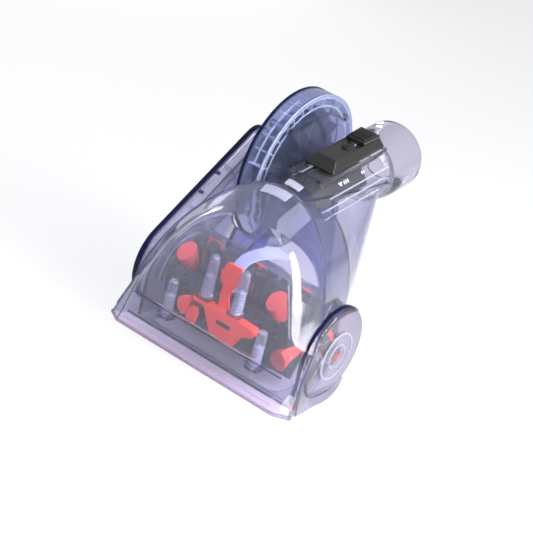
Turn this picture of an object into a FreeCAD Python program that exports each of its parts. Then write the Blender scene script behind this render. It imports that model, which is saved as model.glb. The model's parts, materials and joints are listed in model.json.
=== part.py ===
import FreeCAD, Part
import math
import os

V = FreeCAD.Vector

# Vacuum turbo brush. X runs along the lip to the right, Y runs back from the lip to the hose,
# Z is up from the flat sole. Everything is laid out from the lip and moved to the origin last.

# Overall layout, in millimetres and degrees
ORIGIN_Y = 108.55
WALL = 2.2
RUN_GAP = 0.3
SEAT_GAP = 0.15
FIT_GAP = 0.05
BEYOND = 30.0

# Window hood: two leaning arches, the ridge round the front face and the seam at its back
RIDGE_Y = -4.0
RIDGE_LEAN = 16.7
RIDGE_FOOT = 74.0
RIDGE_HALF = 72.0
RIDGE_SPRING = 16.0
RIDGE_SIDE_R = 150.0
RIDGE_APEX = 123.2
SEAM_Y = 4.0
SEAM_LEAN = 23.0
SEAM_FOOT = 86.0
SEAM_HALF = 81.0
SEAM_SPRING = 27.0
SEAM_SIDE_R = 140.0
SEAM_APEX = 144.5
STEP_S = 27.7
BULGE = 11.5
BULGE_S = 76.0
BULGE_WIDE_R = 350.0
BULGE_TALL_R = 155.0
BULGE_INSET = 1.2
CLIP_WIDE = 26.0
CLIP_LONG = 9.0
CLIP_THICK = 1.6

# Body behind the hood: three upright arches that narrow into the tube
JOINT_Y = 97.0
JOINT_FOOT = 59.0
JOINT_HALF = 56.5
JOINT_SPRING = 50.0
JOINT_SIDE_R = 90.0
JOINT_APEX = 122.0
TAIL_Y = 118.0
TAIL_FOOT = 45.0
TAIL_HALF = 48.0
TAIL_SPRING = 50.0
TAIL_SIDE_R = 110.0
TAIL_APEX = 124.0
NECK_Y = 168.0
NECK_FOOT = 12.0
NECK_HALF = 21.0
NECK_BOTTOM = 109.0
NECK_SPRING = 118.0
NECK_SIDE_R = 40.0
NECK_APEX = 149.0

# Tube and hose socket, along an axis that rises from the sole
TUBE_RISE = 10.0
TUBE_V = 97.0
TUBE_R = 24.0
TUBE_WALL = 3.0
TUBE_START = 60.0
SOCKET_START = 196.0
SOCKET_END = 237.0
SOCKET_R = 28.2
SOCKET_BORE = 23.5
SOCKET_LIP = 2.0
COVER_Z = 127.5

# Brush chamber, brush and its drive end
AXIS_Y = 54.8
AXIS_Z = 35.2
CHAMBER_R = 35.4
SIDE_R = 33.0
CHAMBER_WALL = 2.0
END_X = 68.3
BRUSH_R = 34.6
BRUSH_HALF = 56.5
CORE_R = 10.0
PADDLE_ROWS = 5
PADDLE_COUNT = 3
PADDLE_PITCH = 42.5
PADDLE_FIRST = -53.0
PADDLE_HALF = 6.5
PADDLE_ROUND = 9.5
PADDLE_ROOT = 0.62
PADDLE_R = 32.4
PADDLE_ANGLE = 126.0
BRISTLE_THICK = 5.0
AXLE_R = 2.5
BEARING_R = 8.0
BEARING_WIDE = 4.0
BUSH_R = 5.0
BUSH_LONG = 6.0
CAP_R = 37.0
CAP_X = 80.0
CAP_ROUND = 4.0
CAP_BOSS_R = 18.5
CAP_BOSS = 1.6
CAP_BEARING_R = 8.0

# Sole
SOLE_THICK = 2.5
SOLE_FRONT = 16.0
SOLE_BACK = 97.0
SOLE_CORNER = 10.0
SOLE_MOUTH_FRONT = 22.0
SOLE_MOUTH_BACK = 80.0
SOLE_MOUTH_HALF = 60.0

# Clear bosses with steel screws in front of the chamber, and the red bracket that they hold
BOSS_IN_X = 14.1
BOSS_IN_Y = 15.5
BOSS_IN_Z = 48.0
BOSS_IN_LONG = 33.0
BOSS_OUT_X = 41.7
BOSS_OUT_Y = 12.5
BOSS_OUT_Z = 18.7
BOSS_OUT_LONG = 29.5
BOSS_R = 4.3
BOSS_TIP_R = 3.3
BOSS_BORE = 1.7
LEDGE_THICK = 3.0
LEDGE_HALF = 5.5
SCREW_R = 1.5
SCREW_HEAD_R = 2.7
SCREW_HEAD = 2.2
SCREW_SHARE = 0.5
BRACKET_THICK = 2.6
BRACKET_FRONT = 10.6
BRACKET_HALF = 21.5
BRACKET_FOOT_LEFT = 0.0
BRACKET_FOOT_RIGHT = 20.0
BRACKET_FOOT_Z = 24.0
BRACKET_KNEE_X = 24.5
BRACKET_KNEE_Z = 34.0
BRACKET_WING_X = 32.0
BRACKET_WING_Z = 41.0
BRACKET_WING_R = 3.6
BRACKET_SHOULDER_X = -11.0
BRACKET_SLOT_X = 9.0
BRACKET_SLOT_Z = 36.0
BRACKET_SLOT_LONG = 13.0
BRACKET_SLOT_HIGH = 3.6

# Turbine drum, beside the tube
TURBINE_Y = 138.8
TURBINE_Z = 117.5
DRUM_R = 65.2
DRUM_WALL = 2.2
DRUM_LEFT = -50.0
DRUM_RIGHT = -32.5
NECK_R = 16.0
NECK_WALL = 2.0
PORT_ANGLE = 220.0
PORT_SPREAD = 15.0
ROTOR_R = 52.0
ROTOR_BACK = 1.6
ROTOR_BLADES = 14
BLADE_THICK = 1.4
HUB_R = 8.0
HUB_LONG = 10.0
SHAFT_R = 2.5
SHAFT_BOSS_R = 9.0
SHAFT_BUSH_R = 5.0
POST_R = 3.2
POST_AT = 58.4
POST_COUNT = 4

# Belt drive on the left
BELT_OUT = -85.5
BELT_PLATE = 2.4
BELT_IN = -70.6
BELT_BIG_R = 35.0
BELT_SMALL_R = 17.6
BELT_WALL = 2.4
PULLEY_BIG_R = 15.0
PULLEY_SMALL_R = 6.0
PULLEY_WIDE = 6.0
FLANGE = 1.2
BELT_WIDE = 5.0
BELT_THICK = 1.5

# Slide switch and its valve sleeve
SWITCH_FRONT = 123.0
SWITCH_LONG = 70.0
SWITCH_HALF = 13.0
SWITCH_TOP_HALF = 8.5
SWITCH_HIGH = 7.8
SWITCH_NOSE = 5.0
SWITCH_TAIL = 2.5
SWITCH_TRAVEL = 12.0
SWITCH_CORNER = 1.6
GRIP_RIBS = 5
GRIP_PITCH = 3.4
GRIP_DEEP = 0.9
PAD_HALF = 14.5
PAD_V = 24.4
STEM_HALF = 4.0
STEM_LONG = 22.0
STEM_AT = 34.0
SLEEVE_R = 20.7
SLEEVE_THICK = 1.6
SLEEVE_FRONT = 98.0
SLEEVE_LONG = 66.0
SLEEVE_ANGLE = 74.0

RISE = math.radians(TUBE_RISE)
ALONG = V(0, math.cos(RISE), math.sin(RISE))
ACROSS = V(0, -math.sin(RISE), math.cos(RISE))
SIDE = V(1, 0, 0)
AXIS = V(0, AXIS_Y, AXIS_Z)
TURBINE = V(0, TURBINE_Y, TURBINE_Z)


# General helpers

def box(x0, x1, y0, y1, z0, z1):
    return Part.makeBox(x1 - x0, y1 - y0, z1 - z0, V(x0, y0, z0))


def rod(radius, x0, x1, centre):
    return Part.makeCylinder(radius, x1 - x0, V(x0, centre.y, centre.z), SIDE)


def post(radius, tip_radius, x, y, z, length):
    if abs(radius - tip_radius) < 0.001:
        return Part.makeCylinder(radius, length, V(x, y, z))
    return Part.makeCone(radius, tip_radius, length, V(x, y, z))


def join(shapes):
    whole = shapes[0]
    for shape in shapes[1:]:
        whole = whole.fuse(shape)
    return whole.removeSplitter()


def polar(centre, radius, degrees, x=0.0):
    angle = math.radians(degrees)
    return V(x, centre.y + radius * math.cos(angle), centre.z + radius * math.sin(angle))


def tube_point(u, v=TUBE_V, x=0.0):
    return ALONG * u + ACROSS * v + SIDE * x


def tube_rod(radius, u0, u1):
    return Part.makeCylinder(radius, u1 - u0, tube_point(u0), ALONG)


def tube_box(x0, x1, u0, u1, v0, v1):
    block = Part.makeBox(x1 - x0, u1 - u0, v1 - v0, V(x0, u0, v0))
    block.rotate(V(0, 0, 0), SIDE, TUBE_RISE)
    return block


# Arches

def leaning_plane(y, lean, back=0.0):
    angle = math.radians(lean)
    sine = math.sin(angle)
    cosine = math.cos(angle)
    return lambda x, s: V(x, y + s * sine + back * cosine, s * cosine - back * sine)


def arch_wire(place, foot_half, half, foot, spring, side_r, apex):
    rise = apex - spring
    crown_r = (half * half - 2 * half * side_r + rise * rise) / (2 * (rise - side_r))
    side_x = half - side_r
    crown_s = apex - crown_r
    turn = math.atan2(crown_s - spring, -side_x)
    meet = (side_x + side_r * math.cos(turn), spring + side_r * math.sin(turn))
    middle = (side_x + side_r * math.cos(turn / 2), spring + side_r * math.sin(turn / 2))
    left_foot = place(-foot_half, foot)
    right_foot = place(foot_half, foot)
    right = place(half, spring)
    left = place(-half, spring)
    right_meet = place(meet[0], meet[1])
    left_meet = place(-meet[0], meet[1])
    edges = [
        Part.LineSegment(left_foot, right_foot).toShape(),
        Part.LineSegment(right_foot, right).toShape(),
        Part.Arc(right, place(middle[0], middle[1]), right_meet).toShape(),
        Part.Arc(right_meet, place(0, apex), left_meet).toShape(),
        Part.Arc(left_meet, place(-middle[0], middle[1]), left).toShape(),
        Part.LineSegment(left, left_foot).toShape(),
    ]
    return Part.Wire(edges)


def ridge_arch(inset=0.0, back=0.0, foot=0.0):
    place = leaning_plane(RIDGE_Y, RIDGE_LEAN, back)
    return arch_wire(place, RIDGE_FOOT - inset, RIDGE_HALF - inset, foot, RIDGE_SPRING,
                     RIDGE_SIDE_R - inset, RIDGE_APEX - inset)


def seam_arch(inset=0.0, foot=0.0):
    place = leaning_plane(SEAM_Y, SEAM_LEAN)
    return arch_wire(place, SEAM_FOOT - inset, SEAM_HALF - inset, foot, SEAM_SPRING,
                     SEAM_SIDE_R - inset, SEAM_APEX - inset)


def joint_arch(inset=0.0, foot=0.0):
    place = leaning_plane(JOINT_Y, 0.0)
    return arch_wire(place, JOINT_FOOT - inset, JOINT_HALF - inset, foot, JOINT_SPRING,
                     JOINT_SIDE_R - inset, JOINT_APEX - inset)


def tail_arch(inset=0.0, foot=0.0):
    place = leaning_plane(TAIL_Y, 0.0)
    return arch_wire(place, TAIL_FOOT - inset, TAIL_HALF - inset, foot, TAIL_SPRING,
                     TAIL_SIDE_R - inset, TAIL_APEX - inset)


def neck_arch(inset=0.0):
    place = leaning_plane(NECK_Y, 0.0)
    return arch_wire(place, NECK_FOOT - inset, NECK_HALF - inset, NECK_BOTTOM + inset, NECK_SPRING,
                     NECK_SIDE_R - inset, NECK_APEX - inset)


def loft(*wires):
    return Part.makeLoft(list(wires), True, True)


# Whole outer form and hollow of the body, cut into its shells further down

def behind_seam(gap=0.0):
    block = box(-200, 200, gap, 400, -100, 300)
    block.rotate(V(0, 0, 0), SIDE, -SEAM_LEAN)
    block.translate(V(0, SEAM_Y, 0))
    return block


def socket_profile(radius_points):
    edges = []
    for first, second in zip(radius_points, radius_points[1:] + radius_points[:1]):
        edges.append(Part.LineSegment(V(first[0], 0, first[1]), V(second[0], 0, second[1])).toShape())
    return Part.Face(Part.Wire(edges))


def along_tube(shape):
    shape.rotate(V(0, 0, 0), SIDE, TUBE_RISE - 90.0)
    shape.translate(ACROSS * TUBE_V)
    return shape


def socket_bulb():
    start = SOCKET_START - 4 * TUBE_WALL
    top = V(SOCKET_R, 0, SOCKET_START + TUBE_WALL * 3)
    sweep = Part.Arc(V(TUBE_R, 0, start), V((TUBE_R + SOCKET_R) / 2 + 0.8, 0, SOCKET_START), top).toShape()
    end = V(SOCKET_R - SOCKET_LIP, 0, SOCKET_END)
    last = V(SOCKET_R, 0, SOCKET_END - 3 * SOCKET_LIP)
    edges = [
        sweep,
        Part.LineSegment(top, last).toShape(),
        Part.Arc(last, V(SOCKET_R - SOCKET_LIP / 3, 0, SOCKET_END - SOCKET_LIP), end).toShape(),
        Part.LineSegment(end, V(0, 0, SOCKET_END)).toShape(),
        Part.LineSegment(V(0, 0, SOCKET_END), V(0, 0, start)).toShape(),
        Part.LineSegment(V(0, 0, start), V(TUBE_R, 0, start)).toShape(),
    ]
    face = Part.Face(Part.Wire(edges))
    return along_tube(face.revolve(V(0, 0, 0), V(0, 0, 1), 360))


def tube_outer():
    return join([tube_rod(TUBE_R, TUBE_START, SOCKET_START), socket_bulb()])


def tube_bore():
    bore = tube_rod(TUBE_R - TUBE_WALL, TUBE_START - BEYOND, SOCKET_START + TUBE_WALL)
    socket = tube_rod(SOCKET_BORE, SOCKET_START, SOCKET_END + BEYOND)
    return join([bore, socket])


def body_outer():
    front = loft(seam_arch(), joint_arch())
    tail = loft(joint_arch(), tail_arch())
    neck = loft(tail_arch(), neck_arch())
    pad = tube_box(-PAD_HALF, PAD_HALF, SWITCH_FRONT - SWITCH_TRAVEL - 2, SOCKET_START,
                   TUBE_V, TUBE_V + PAD_V)
    above = tube_box(-PAD_HALF, PAD_HALF, SWITCH_FRONT - SWITCH_TRAVEL - 2,
                     SWITCH_FRONT + SWITCH_LONG + 1, TUBE_V + PAD_V, TUBE_V + 2 * PAD_V)
    return join([front, tail, neck, tube_outer(), pad]).cut(above).common(behind_seam())


def body_hollow():
    inset = WALL * 1.1
    front = loft(seam_arch(inset, -WALL), joint_arch(inset, -WALL))
    tail = loft(joint_arch(inset, WALL), tail_arch(inset, WALL))
    neck = loft(tail_arch(inset, WALL), neck_arch(inset))
    return join([front, tail, neck, tube_bore()])


def front_fill(grow=0.0):
    return loft(seam_arch(-grow), joint_arch(-grow))


def front_hollow(inset):
    return loft(seam_arch(inset, -WALL), joint_arch(inset, -WALL))


def hood_room(gap=0.0):
    inset = WALL * 1.1 + gap
    return loft(ridge_arch(inset, WALL + gap, -WALL), seam_arch(inset, -WALL))


def inner_fill():
    return join([hood_room(SEAT_GAP), front_fill()])


def whole_hollow():
    return join([hood_room(), front_hollow(WALL * 1.1)])


def drum_space(gap):
    space = rod(DRUM_R + gap, DRUM_LEFT - 100, DRUM_RIGHT + gap, TURBINE)
    heads = [rod(SCREW_HEAD_R + gap, DRUM_RIGHT - 1, DRUM_RIGHT + SCREW_HEAD + gap, p) for p in post_places()]
    return join([space] + heads)


def neck_space(gap):
    return rod(NECK_R + gap, DRUM_RIGHT - 1, 0, TURBINE)


def body_shell():
    shell = body_outer().cut(body_hollow())
    shell = shell.cut(drum_space(RUN_GAP))
    shell = shell.cut(neck_space(SEAT_GAP))
    return shell.cut(hull(BELT_BIG_R + SEAT_GAP, BELT_SMALL_R + SEAT_GAP, BELT_OUT - 5, BELT_IN + SEAT_GAP))


# Window hood

def barrel(radius_in):
    # A barrel whose side bulges forward, standing in the ridge plane's own axes
    wide = BULGE_WIDE_R - radius_in
    tall = BULGE_TALL_R - radius_in
    middle = BULGE_S
    reach = BULGE_TALL_R * 0.5
    drop = math.sqrt(tall * tall - reach * reach)
    inner = wide - tall
    top = V(inner + drop, 0, middle + reach)
    bottom = V(inner + drop, 0, middle - reach)
    edges = [
        Part.Arc(bottom, V(wide, 0, middle), top).toShape(),
        Part.LineSegment(top, V(0, 0, middle + reach)).toShape(),
        Part.LineSegment(V(0, 0, middle + reach), V(0, 0, middle - reach)).toShape(),
        Part.LineSegment(V(0, 0, middle - reach), bottom).toShape(),
    ]
    solid = Part.Face(Part.Wire(edges)).revolve(V(0, 0, 0), V(0, 0, 1), 360)
    solid.translate(V(0, BULGE_WIDE_R - BULGE, 0))
    solid.rotate(V(0, 0, 0), SIDE, -RIDGE_LEAN)
    solid.translate(V(0, RIDGE_Y, 0))
    return solid


def above_step(rise):
    block = box(-200, 200, -200, 200, 0, 300)
    block.translate(V(0, 0, STEP_S + rise))
    block.rotate(V(0, 0, 0), SIDE, -RIDGE_LEAN)
    block.translate(V(0, RIDGE_Y, 0))
    return block


def blister(radius_in, inset, back):
    angle = math.radians(RIDGE_LEAN)
    forward = V(0, -math.cos(angle), math.sin(angle))
    prism = Part.Face(ridge_arch(inset, back)).extrude(forward * (BULGE * 2 + back))
    return prism.common(barrel(radius_in)).common(above_step(radius_in))


def window_hood():
    outer = join([loft(ridge_arch(), seam_arch()), blister(0.0, BULGE_INSET, 0.1), clip_pad()])
    hollow = hood_room()
    face = blister(WALL, BULGE_INSET + WALL, 2 * WALL)
    return outer.cut(hollow).cut(face).cut(behind_seam())


def clip_pad():
    apex_y = SEAM_Y + SEAM_APEX * math.sin(math.radians(SEAM_LEAN))
    apex_z = SEAM_APEX * math.cos(math.radians(SEAM_LEAN))
    front_y = RIDGE_Y + RIDGE_APEX * math.sin(math.radians(RIDGE_LEAN))
    front_z = RIDGE_APEX * math.cos(math.radians(RIDGE_LEAN))
    slope = math.degrees(math.atan2(apex_z - front_z, apex_y - front_y))
    pad = Part.makeBox(CLIP_WIDE, CLIP_LONG, 2 * CLIP_THICK, V(-CLIP_WIDE / 2, -CLIP_LONG - 1.5, -CLIP_THICK))
    pad.rotate(V(0, 0, 0), SIDE, slope)
    pad.translate(V(0, apex_y, apex_z - 0.6))
    return pad


# Body shells

def chamber_form(radius, x0, x1, bottom):
    round_top = rod(radius, x0, x1, AXIS).common(box(x0, x1, -100, 300, AXIS_Z - 1, 300))
    return join([round_top, box(x0, x1, AXIS_Y - radius, AXIS_Y + radius, bottom, AXIS_Z)])


def chamber_block(gap):
    # The chamber with its walls, grown by a gap, as other parts have to clear it
    radius = CHAMBER_R + CHAMBER_WALL + gap
    return chamber_form(radius, -END_X - WALL - gap, END_X + BEYOND, SOLE_THICK + SEAT_GAP - gap)


def chamber_outer():
    inside = chamber_block(0.0).common(inner_fill())
    left = rod(CHAMBER_R + CHAMBER_WALL, -END_X - WALL, 0, AXIS)
    left = left.common(box(-200, 0, -100, 300, SOLE_THICK + SEAT_GAP, 300))
    return join([inside, left.common(behind_seam(SEAT_GAP))])


def chamber_hollow():
    room = chamber_form(CHAMBER_R, -END_X, END_X + BEYOND, -BEYOND).common(whole_hollow())
    return join([room, rod(SIDE_R, -END_X, END_X + BEYOND, AXIS)])


def boss_places():
    places = []
    for side in (-1, 1):
        places.append((side * BOSS_IN_X, BOSS_IN_Y, BOSS_IN_Z, BOSS_IN_LONG))
        places.append((side * BOSS_OUT_X, BOSS_OUT_Y, BOSS_OUT_Z, BOSS_OUT_LONG))
    return places


def boss(x, y, z, length):
    column = post(BOSS_R, BOSS_TIP_R, x, y, z, length - BOSS_TIP_R)
    tip = Part.makeSphere(BOSS_TIP_R, V(x, y, z + length - BOSS_TIP_R))
    ledge = box(x - LEDGE_HALF, x + LEDGE_HALF, y - BOSS_R, AXIS_Y, z - LEDGE_THICK, z)
    return join([column, tip, ledge])


def boss_bore(x, y, z, length):
    return Part.makeCylinder(BOSS_BORE, length - BOSS_TIP_R + LEDGE_THICK, V(x, y, z - LEDGE_THICK))


def end_wall_hole():
    return rod(BEARING_R + FIT_GAP, -END_X - BEYOND, -END_X + BEYOND, AXIS)


def front_body():
    shell = body_shell().common(box(-200, 200, -50, JOINT_Y, -10, COVER_Z))
    parts = [shell, chamber_outer()]
    for place in boss_places():
        parts.append(boss(*place))
    body = join(parts).cut(chamber_hollow()).cut(end_wall_hole()).cut(screw_heads(SEAT_GAP))
    for place in boss_places():
        body = body.cut(boss_bore(*place))
    return body.cut(bulkhead_slot()).common(box(-200, 200, -50, JOINT_Y, 0, 300))


def bulkhead_slot():
    plate = box(-200, 200, JOINT_Y - 4.0, JOINT_Y - 1.0, WALL, 300)
    return plate.common(front_hollow(WALL * 1.1 - 0.8))


def bulkhead():
    plate = box(-200, 200, JOINT_Y - 4.0 + SEAT_GAP, JOINT_Y - 1.0 - SEAT_GAP, SOLE_THICK + 1, COVER_Z + 4)
    plate = plate.common(front_hollow(WALL * 1.1 - 0.6))
    place = leaning_plane(JOINT_Y - 9.0, 0.0)
    collar = Part.Face(arch_wire(place, 45.0, 45.0, 30.0, 42.0, 52.0, 91.0)).extrude(V(0, 6.0, 0))
    room = Part.Face(arch_wire(leaning_plane(JOINT_Y - 12.0, 0.0), 38.0, 38.0, 36.0, 42.0, 44.0, 83.0))
    collar = collar.cut(chamber_block(SEAT_GAP))
    wall = join([plate, collar]).cut(room.extrude(V(0, 20.0, 0)))
    wall = wall.cut(tube_rod(TUBE_R - TUBE_WALL, TUBE_START, SOCKET_START))
    return wall.cut(drum_space(2 * RUN_GAP))


def rear_body():
    behind = box(-200, 200, JOINT_Y, 400, -10, COVER_Z)
    return body_shell().common(behind).cut(socket_zone())


def socket_zone():
    return tube_box(-200, 200, SOCKET_START - 1.0, 300, -50, 250)


def tube_socket():
    return body_shell().common(socket_zone())


def tube_cover():
    above = box(-200, 200, -50, 400, COVER_Z, 300)
    cover = body_shell().common(above).cut(socket_zone())
    slot = tube_box(-STEM_HALF - RUN_GAP, STEM_HALF + RUN_GAP,
                    SWITCH_FRONT + STEM_AT - SWITCH_TRAVEL - 1, SWITCH_FRONT + STEM_AT + STEM_LONG + 1,
                    TUBE_V, TUBE_V + 2 * TUBE_R)
    return cover.cut(slot)


def sole_frame():
    plate = box(-200, 200, SOLE_FRONT, SOLE_BACK, 0, SOLE_THICK)
    plate = plate.common(front_hollow(WALL * 1.1 + SEAT_GAP))
    mouth = box(-SOLE_MOUTH_HALF, SOLE_MOUTH_HALF, SOLE_MOUTH_FRONT, SOLE_MOUTH_BACK, -1, SOLE_THICK + 1)
    mouth = mouth.makeFillet(SOLE_CORNER, [e for e in mouth.Edges if abs(e.Length - SOLE_THICK - 2) < 0.01])
    frame = plate.cut(mouth)
    return frame.cut(hull(BELT_BIG_R + SEAT_GAP, BELT_SMALL_R + SEAT_GAP, BELT_OUT, BELT_IN + SEAT_GAP))


def right_end_cap():
    outside = rod(CAP_R, AXIS_Y - 2, CAP_X, AXIS)
    edges = [e for e in outside.Edges if abs(e.CenterOfMass.x - CAP_X) < 0.01]
    outside = outside.makeFillet(CAP_ROUND, edges)
    outside = join([outside, rod(CAP_BOSS_R, CAP_X - 1, CAP_X + CAP_BOSS, AXIS)])
    hollow = rod(CAP_R - WALL, AXIS_Y - 3, CAP_X - WALL, AXIS)
    cap = outside.cut(hollow.common(box(0, 200, -100, 300, SOLE_THICK, 300)))
    cap = join([cap, rod(CAP_BEARING_R, END_X + 2, CAP_X - 1, AXIS)])
    cap = cap.cut(rod(BUSH_R + FIT_GAP, END_X, END_X + 2 + BUSH_LONG, AXIS))
    cap = cap.cut(front_fill(SEAT_GAP)).common(behind_seam(SEAT_GAP))
    return cap.common(box(0, 200, -100, 300, 0, 300))


# Brush

def oval(long, short, height):
    ring = Part.Ellipse(V(0, 0, height), long, short).toShape()
    return Part.Wire([ring])


def paddle(x, angle):
    # A rubber lobe that flares outwards from the core
    root = oval(PADDLE_ROUND * PADDLE_ROOT, PADDLE_HALF * PADDLE_ROOT, 0)
    petal = Part.makeLoft([root, oval(PADDLE_ROUND, PADDLE_HALF, PADDLE_R + 2)], True, True)
    petal.rotate(V(0, 0, 0), V(0, 0, 1), 90)
    petal.rotate(V(0, 0, 0), SIDE, angle - 90.0)
    petal.translate(V(x, AXIS_Y, AXIS_Z))
    petal = petal.common(rod(PADDLE_R, x - 20, x + 20, AXIS))
    return petal.cut(rod(CORE_R + FIT_GAP / 5, x - 20, x + 20, AXIS))


def brush_paddles():
    paddles = []
    for row in range(PADDLE_ROWS):
        for step in range(PADDLE_COUNT):
            x = PADDLE_FIRST + PADDLE_PITCH * (step + 0.5 * (row % 2))
            paddles.append(paddle(x, PADDLE_ANGLE + 360.0 / PADDLE_ROWS * row))
    return Part.makeCompound(paddles)


def brush_core():
    core = rod(CORE_R, -END_X + BEARING_WIDE - 1.5, END_X - 1, AXIS)
    return core.cut(rod(AXLE_R + FIT_GAP / 5, -100, 100, AXIS))


def bristle_strips():
    strips = []
    paddles = brush_paddles()
    for row in range(PADDLE_ROWS):
        angle = PADDLE_ANGLE + 360.0 / PADDLE_ROWS * (row + 0.5)
        strip = Part.makeBox(2 * BRUSH_HALF, BRISTLE_THICK, BRUSH_R - CORE_R,
                             V(-BRUSH_HALF, -BRISTLE_THICK / 2, CORE_R * 0.9))
        strip.rotate(V(0, 0, 0), SIDE, angle - 90.0)
        strip.translate(AXIS)
        strip = strip.common(rod(BRUSH_R, -100, 100, AXIS)).cut(rod(CORE_R + FIT_GAP / 5, -100, 100, AXIS))
        strips.append(strip.cut(paddles))
    return Part.makeCompound(strips)


def brush_axle():
    return rod(AXLE_R, BELT_OUT + BELT_PLATE + 1, END_X + BUSH_LONG, AXIS)


def brush_bearing():
    ring = rod(BEARING_R, -END_X - WALL, -END_X - WALL + BEARING_WIDE, AXIS)
    return ring.cut(rod(AXLE_R + FIT_GAP, -100, 100, AXIS))


def brush_bush():
    ring = rod(BUSH_R, END_X + 2, END_X + 2 + BUSH_LONG - SEAT_GAP, AXIS)
    return ring.cut(rod(AXLE_R + FIT_GAP, 0, 100, AXIS))


# Belt drive

def hull_face(big_r, small_r, x):
    gap = TURBINE.sub(AXIS)
    turn = math.degrees(math.atan2(gap.z, gap.y))
    open_by = math.degrees(math.acos((big_r - small_r) / gap.Length))
    first = polar(AXIS, big_r, turn + open_by, x)
    second = polar(TURBINE, small_r, turn + open_by, x)
    third = polar(TURBINE, small_r, turn - open_by, x)
    fourth = polar(AXIS, big_r, turn - open_by, x)
    edges = [
        Part.LineSegment(first, second).toShape(),
        Part.Arc(second, polar(TURBINE, small_r, turn, x), third).toShape(),
        Part.LineSegment(third, fourth).toShape(),
        Part.Arc(fourth, polar(AXIS, big_r, turn + 180, x), first).toShape(),
    ]
    return Part.Face(Part.Wire(edges))


def hull(big_r, small_r, x0, x1):
    return hull_face(big_r, small_r, x0).extrude(V(x1 - x0, 0, 0))


def belt_cover():
    plate = hull(BELT_BIG_R, BELT_SMALL_R, BELT_OUT, BELT_OUT + BELT_PLATE)
    lip = hull(BELT_BIG_R - BELT_WALL - SEAT_GAP, BELT_SMALL_R - BELT_WALL - SEAT_GAP,
               BELT_OUT + BELT_PLATE - 0.5, BELT_OUT + 2 * BELT_PLATE)
    lip = lip.cut(hull(BELT_BIG_R - 2 * BELT_WALL, BELT_SMALL_R - 2 * BELT_WALL, BELT_OUT, BELT_IN))
    cover = join([plate, lip.common(behind_seam(WALL + SEAT_GAP))]).common(behind_seam(SEAT_GAP))
    return cover.common(box(-200, 0, -100, 300, 0, 300))


def belt_case():
    outside = hull(BELT_BIG_R, BELT_SMALL_R, BELT_OUT + BELT_PLATE, BELT_IN).common(behind_seam(SEAT_GAP))
    room = hull(BELT_BIG_R - BELT_WALL, BELT_SMALL_R - BELT_WALL, BELT_OUT, BELT_IN - BELT_PLATE)
    case = outside.cut(room.common(behind_seam(WALL)))
    case = case.cut(rod(AXLE_R + 2, -100, 0, AXIS))
    case = case.cut(rod(SHAFT_BUSH_R + FIT_GAP, -100, 0, TURBINE))
    return case.common(box(-200, 0, -100, 300, 0, 300))


def pulley(radius, centre):
    start = BELT_OUT + BELT_PLATE + 2.0
    wheel = rod(radius, start, start + PULLEY_WIDE, centre)
    near = rod(radius + FLANGE, start - 1.0, start, centre)
    far = rod(radius + FLANGE, start + PULLEY_WIDE, start + PULLEY_WIDE + 1.0, centre)
    return join([wheel, near, far])


def brush_pulley():
    return pulley(PULLEY_BIG_R, AXIS).cut(rod(AXLE_R + FIT_GAP / 5, -100, 0, AXIS))


def turbine_pulley():
    return pulley(PULLEY_SMALL_R, TURBINE).cut(rod(SHAFT_R + FIT_GAP / 5, -100, 0, TURBINE))


def drive_belt():
    start = BELT_OUT + BELT_PLATE + 2.0 + (PULLEY_WIDE - BELT_WIDE) / 2
    inner = hull(PULLEY_BIG_R + RUN_GAP, PULLEY_SMALL_R + RUN_GAP, start, start + BELT_WIDE)
    outer = hull(PULLEY_BIG_R + RUN_GAP + BELT_THICK, PULLEY_SMALL_R + RUN_GAP + BELT_THICK,
                 start, start + BELT_WIDE)
    return outer.cut(inner)


# Turbine

def post_places():
    return [polar(TURBINE, POST_AT, 45 + 360.0 / POST_COUNT * k) for k in range(POST_COUNT)]


def turbine_drum():
    case = rod(DRUM_R, DRUM_LEFT, DRUM_RIGHT - DRUM_WALL, TURBINE)
    case = case.cut(rod(DRUM_R - DRUM_WALL, DRUM_LEFT + DRUM_WALL, DRUM_RIGHT, TURBINE))
    parts = [case, rod(SHAFT_BOSS_R, BELT_IN, DRUM_LEFT + 1, TURBINE)]
    for place in post_places():
        parts.append(rod(POST_R, DRUM_LEFT + 1, DRUM_RIGHT - DRUM_WALL, place))
    drum = join(parts)
    drum = drum.cut(rod(SHAFT_BUSH_R + FIT_GAP, -100, 0, TURBINE))
    for place in post_places():
        drum = drum.cut(rod(SCREW_R + 0.1, DRUM_LEFT + 4, 0, place))
    return drum.cut(drum_port())


def drum_port():
    x0 = DRUM_LEFT + DRUM_WALL
    x1 = DRUM_RIGHT - DRUM_WALL
    points = [polar(TURBINE, DRUM_R - 8, PORT_ANGLE + s * PORT_SPREAD, x0) for s in (-1, 1)]
    points += [polar(TURBINE, DRUM_R + 8, PORT_ANGLE + s * PORT_SPREAD, x0) for s in (1, -1)]
    wire = Part.makePolygon(points + points[:1])
    return Part.Face(wire).extrude(V(x1 - x0, 0, 0))


def turbine_cover():
    disc = rod(DRUM_R, DRUM_RIGHT - DRUM_WALL, DRUM_RIGHT, TURBINE)
    neck = rod(NECK_R, DRUM_RIGHT - 1, 0, TURBINE).cut(tube_rod(TUBE_R - 1.0, 50, 250))
    neck = neck.common(rod(NECK_R, DRUM_RIGHT - 1, -TUBE_R * 0.4, TURBINE))
    cover = join([disc, neck]).cut(rod(NECK_R - NECK_WALL, DRUM_LEFT, 0, TURBINE))
    for place in post_places():
        cover = cover.cut(rod(SCREW_R + 0.2, DRUM_LEFT, 0, place))
    return cover


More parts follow.
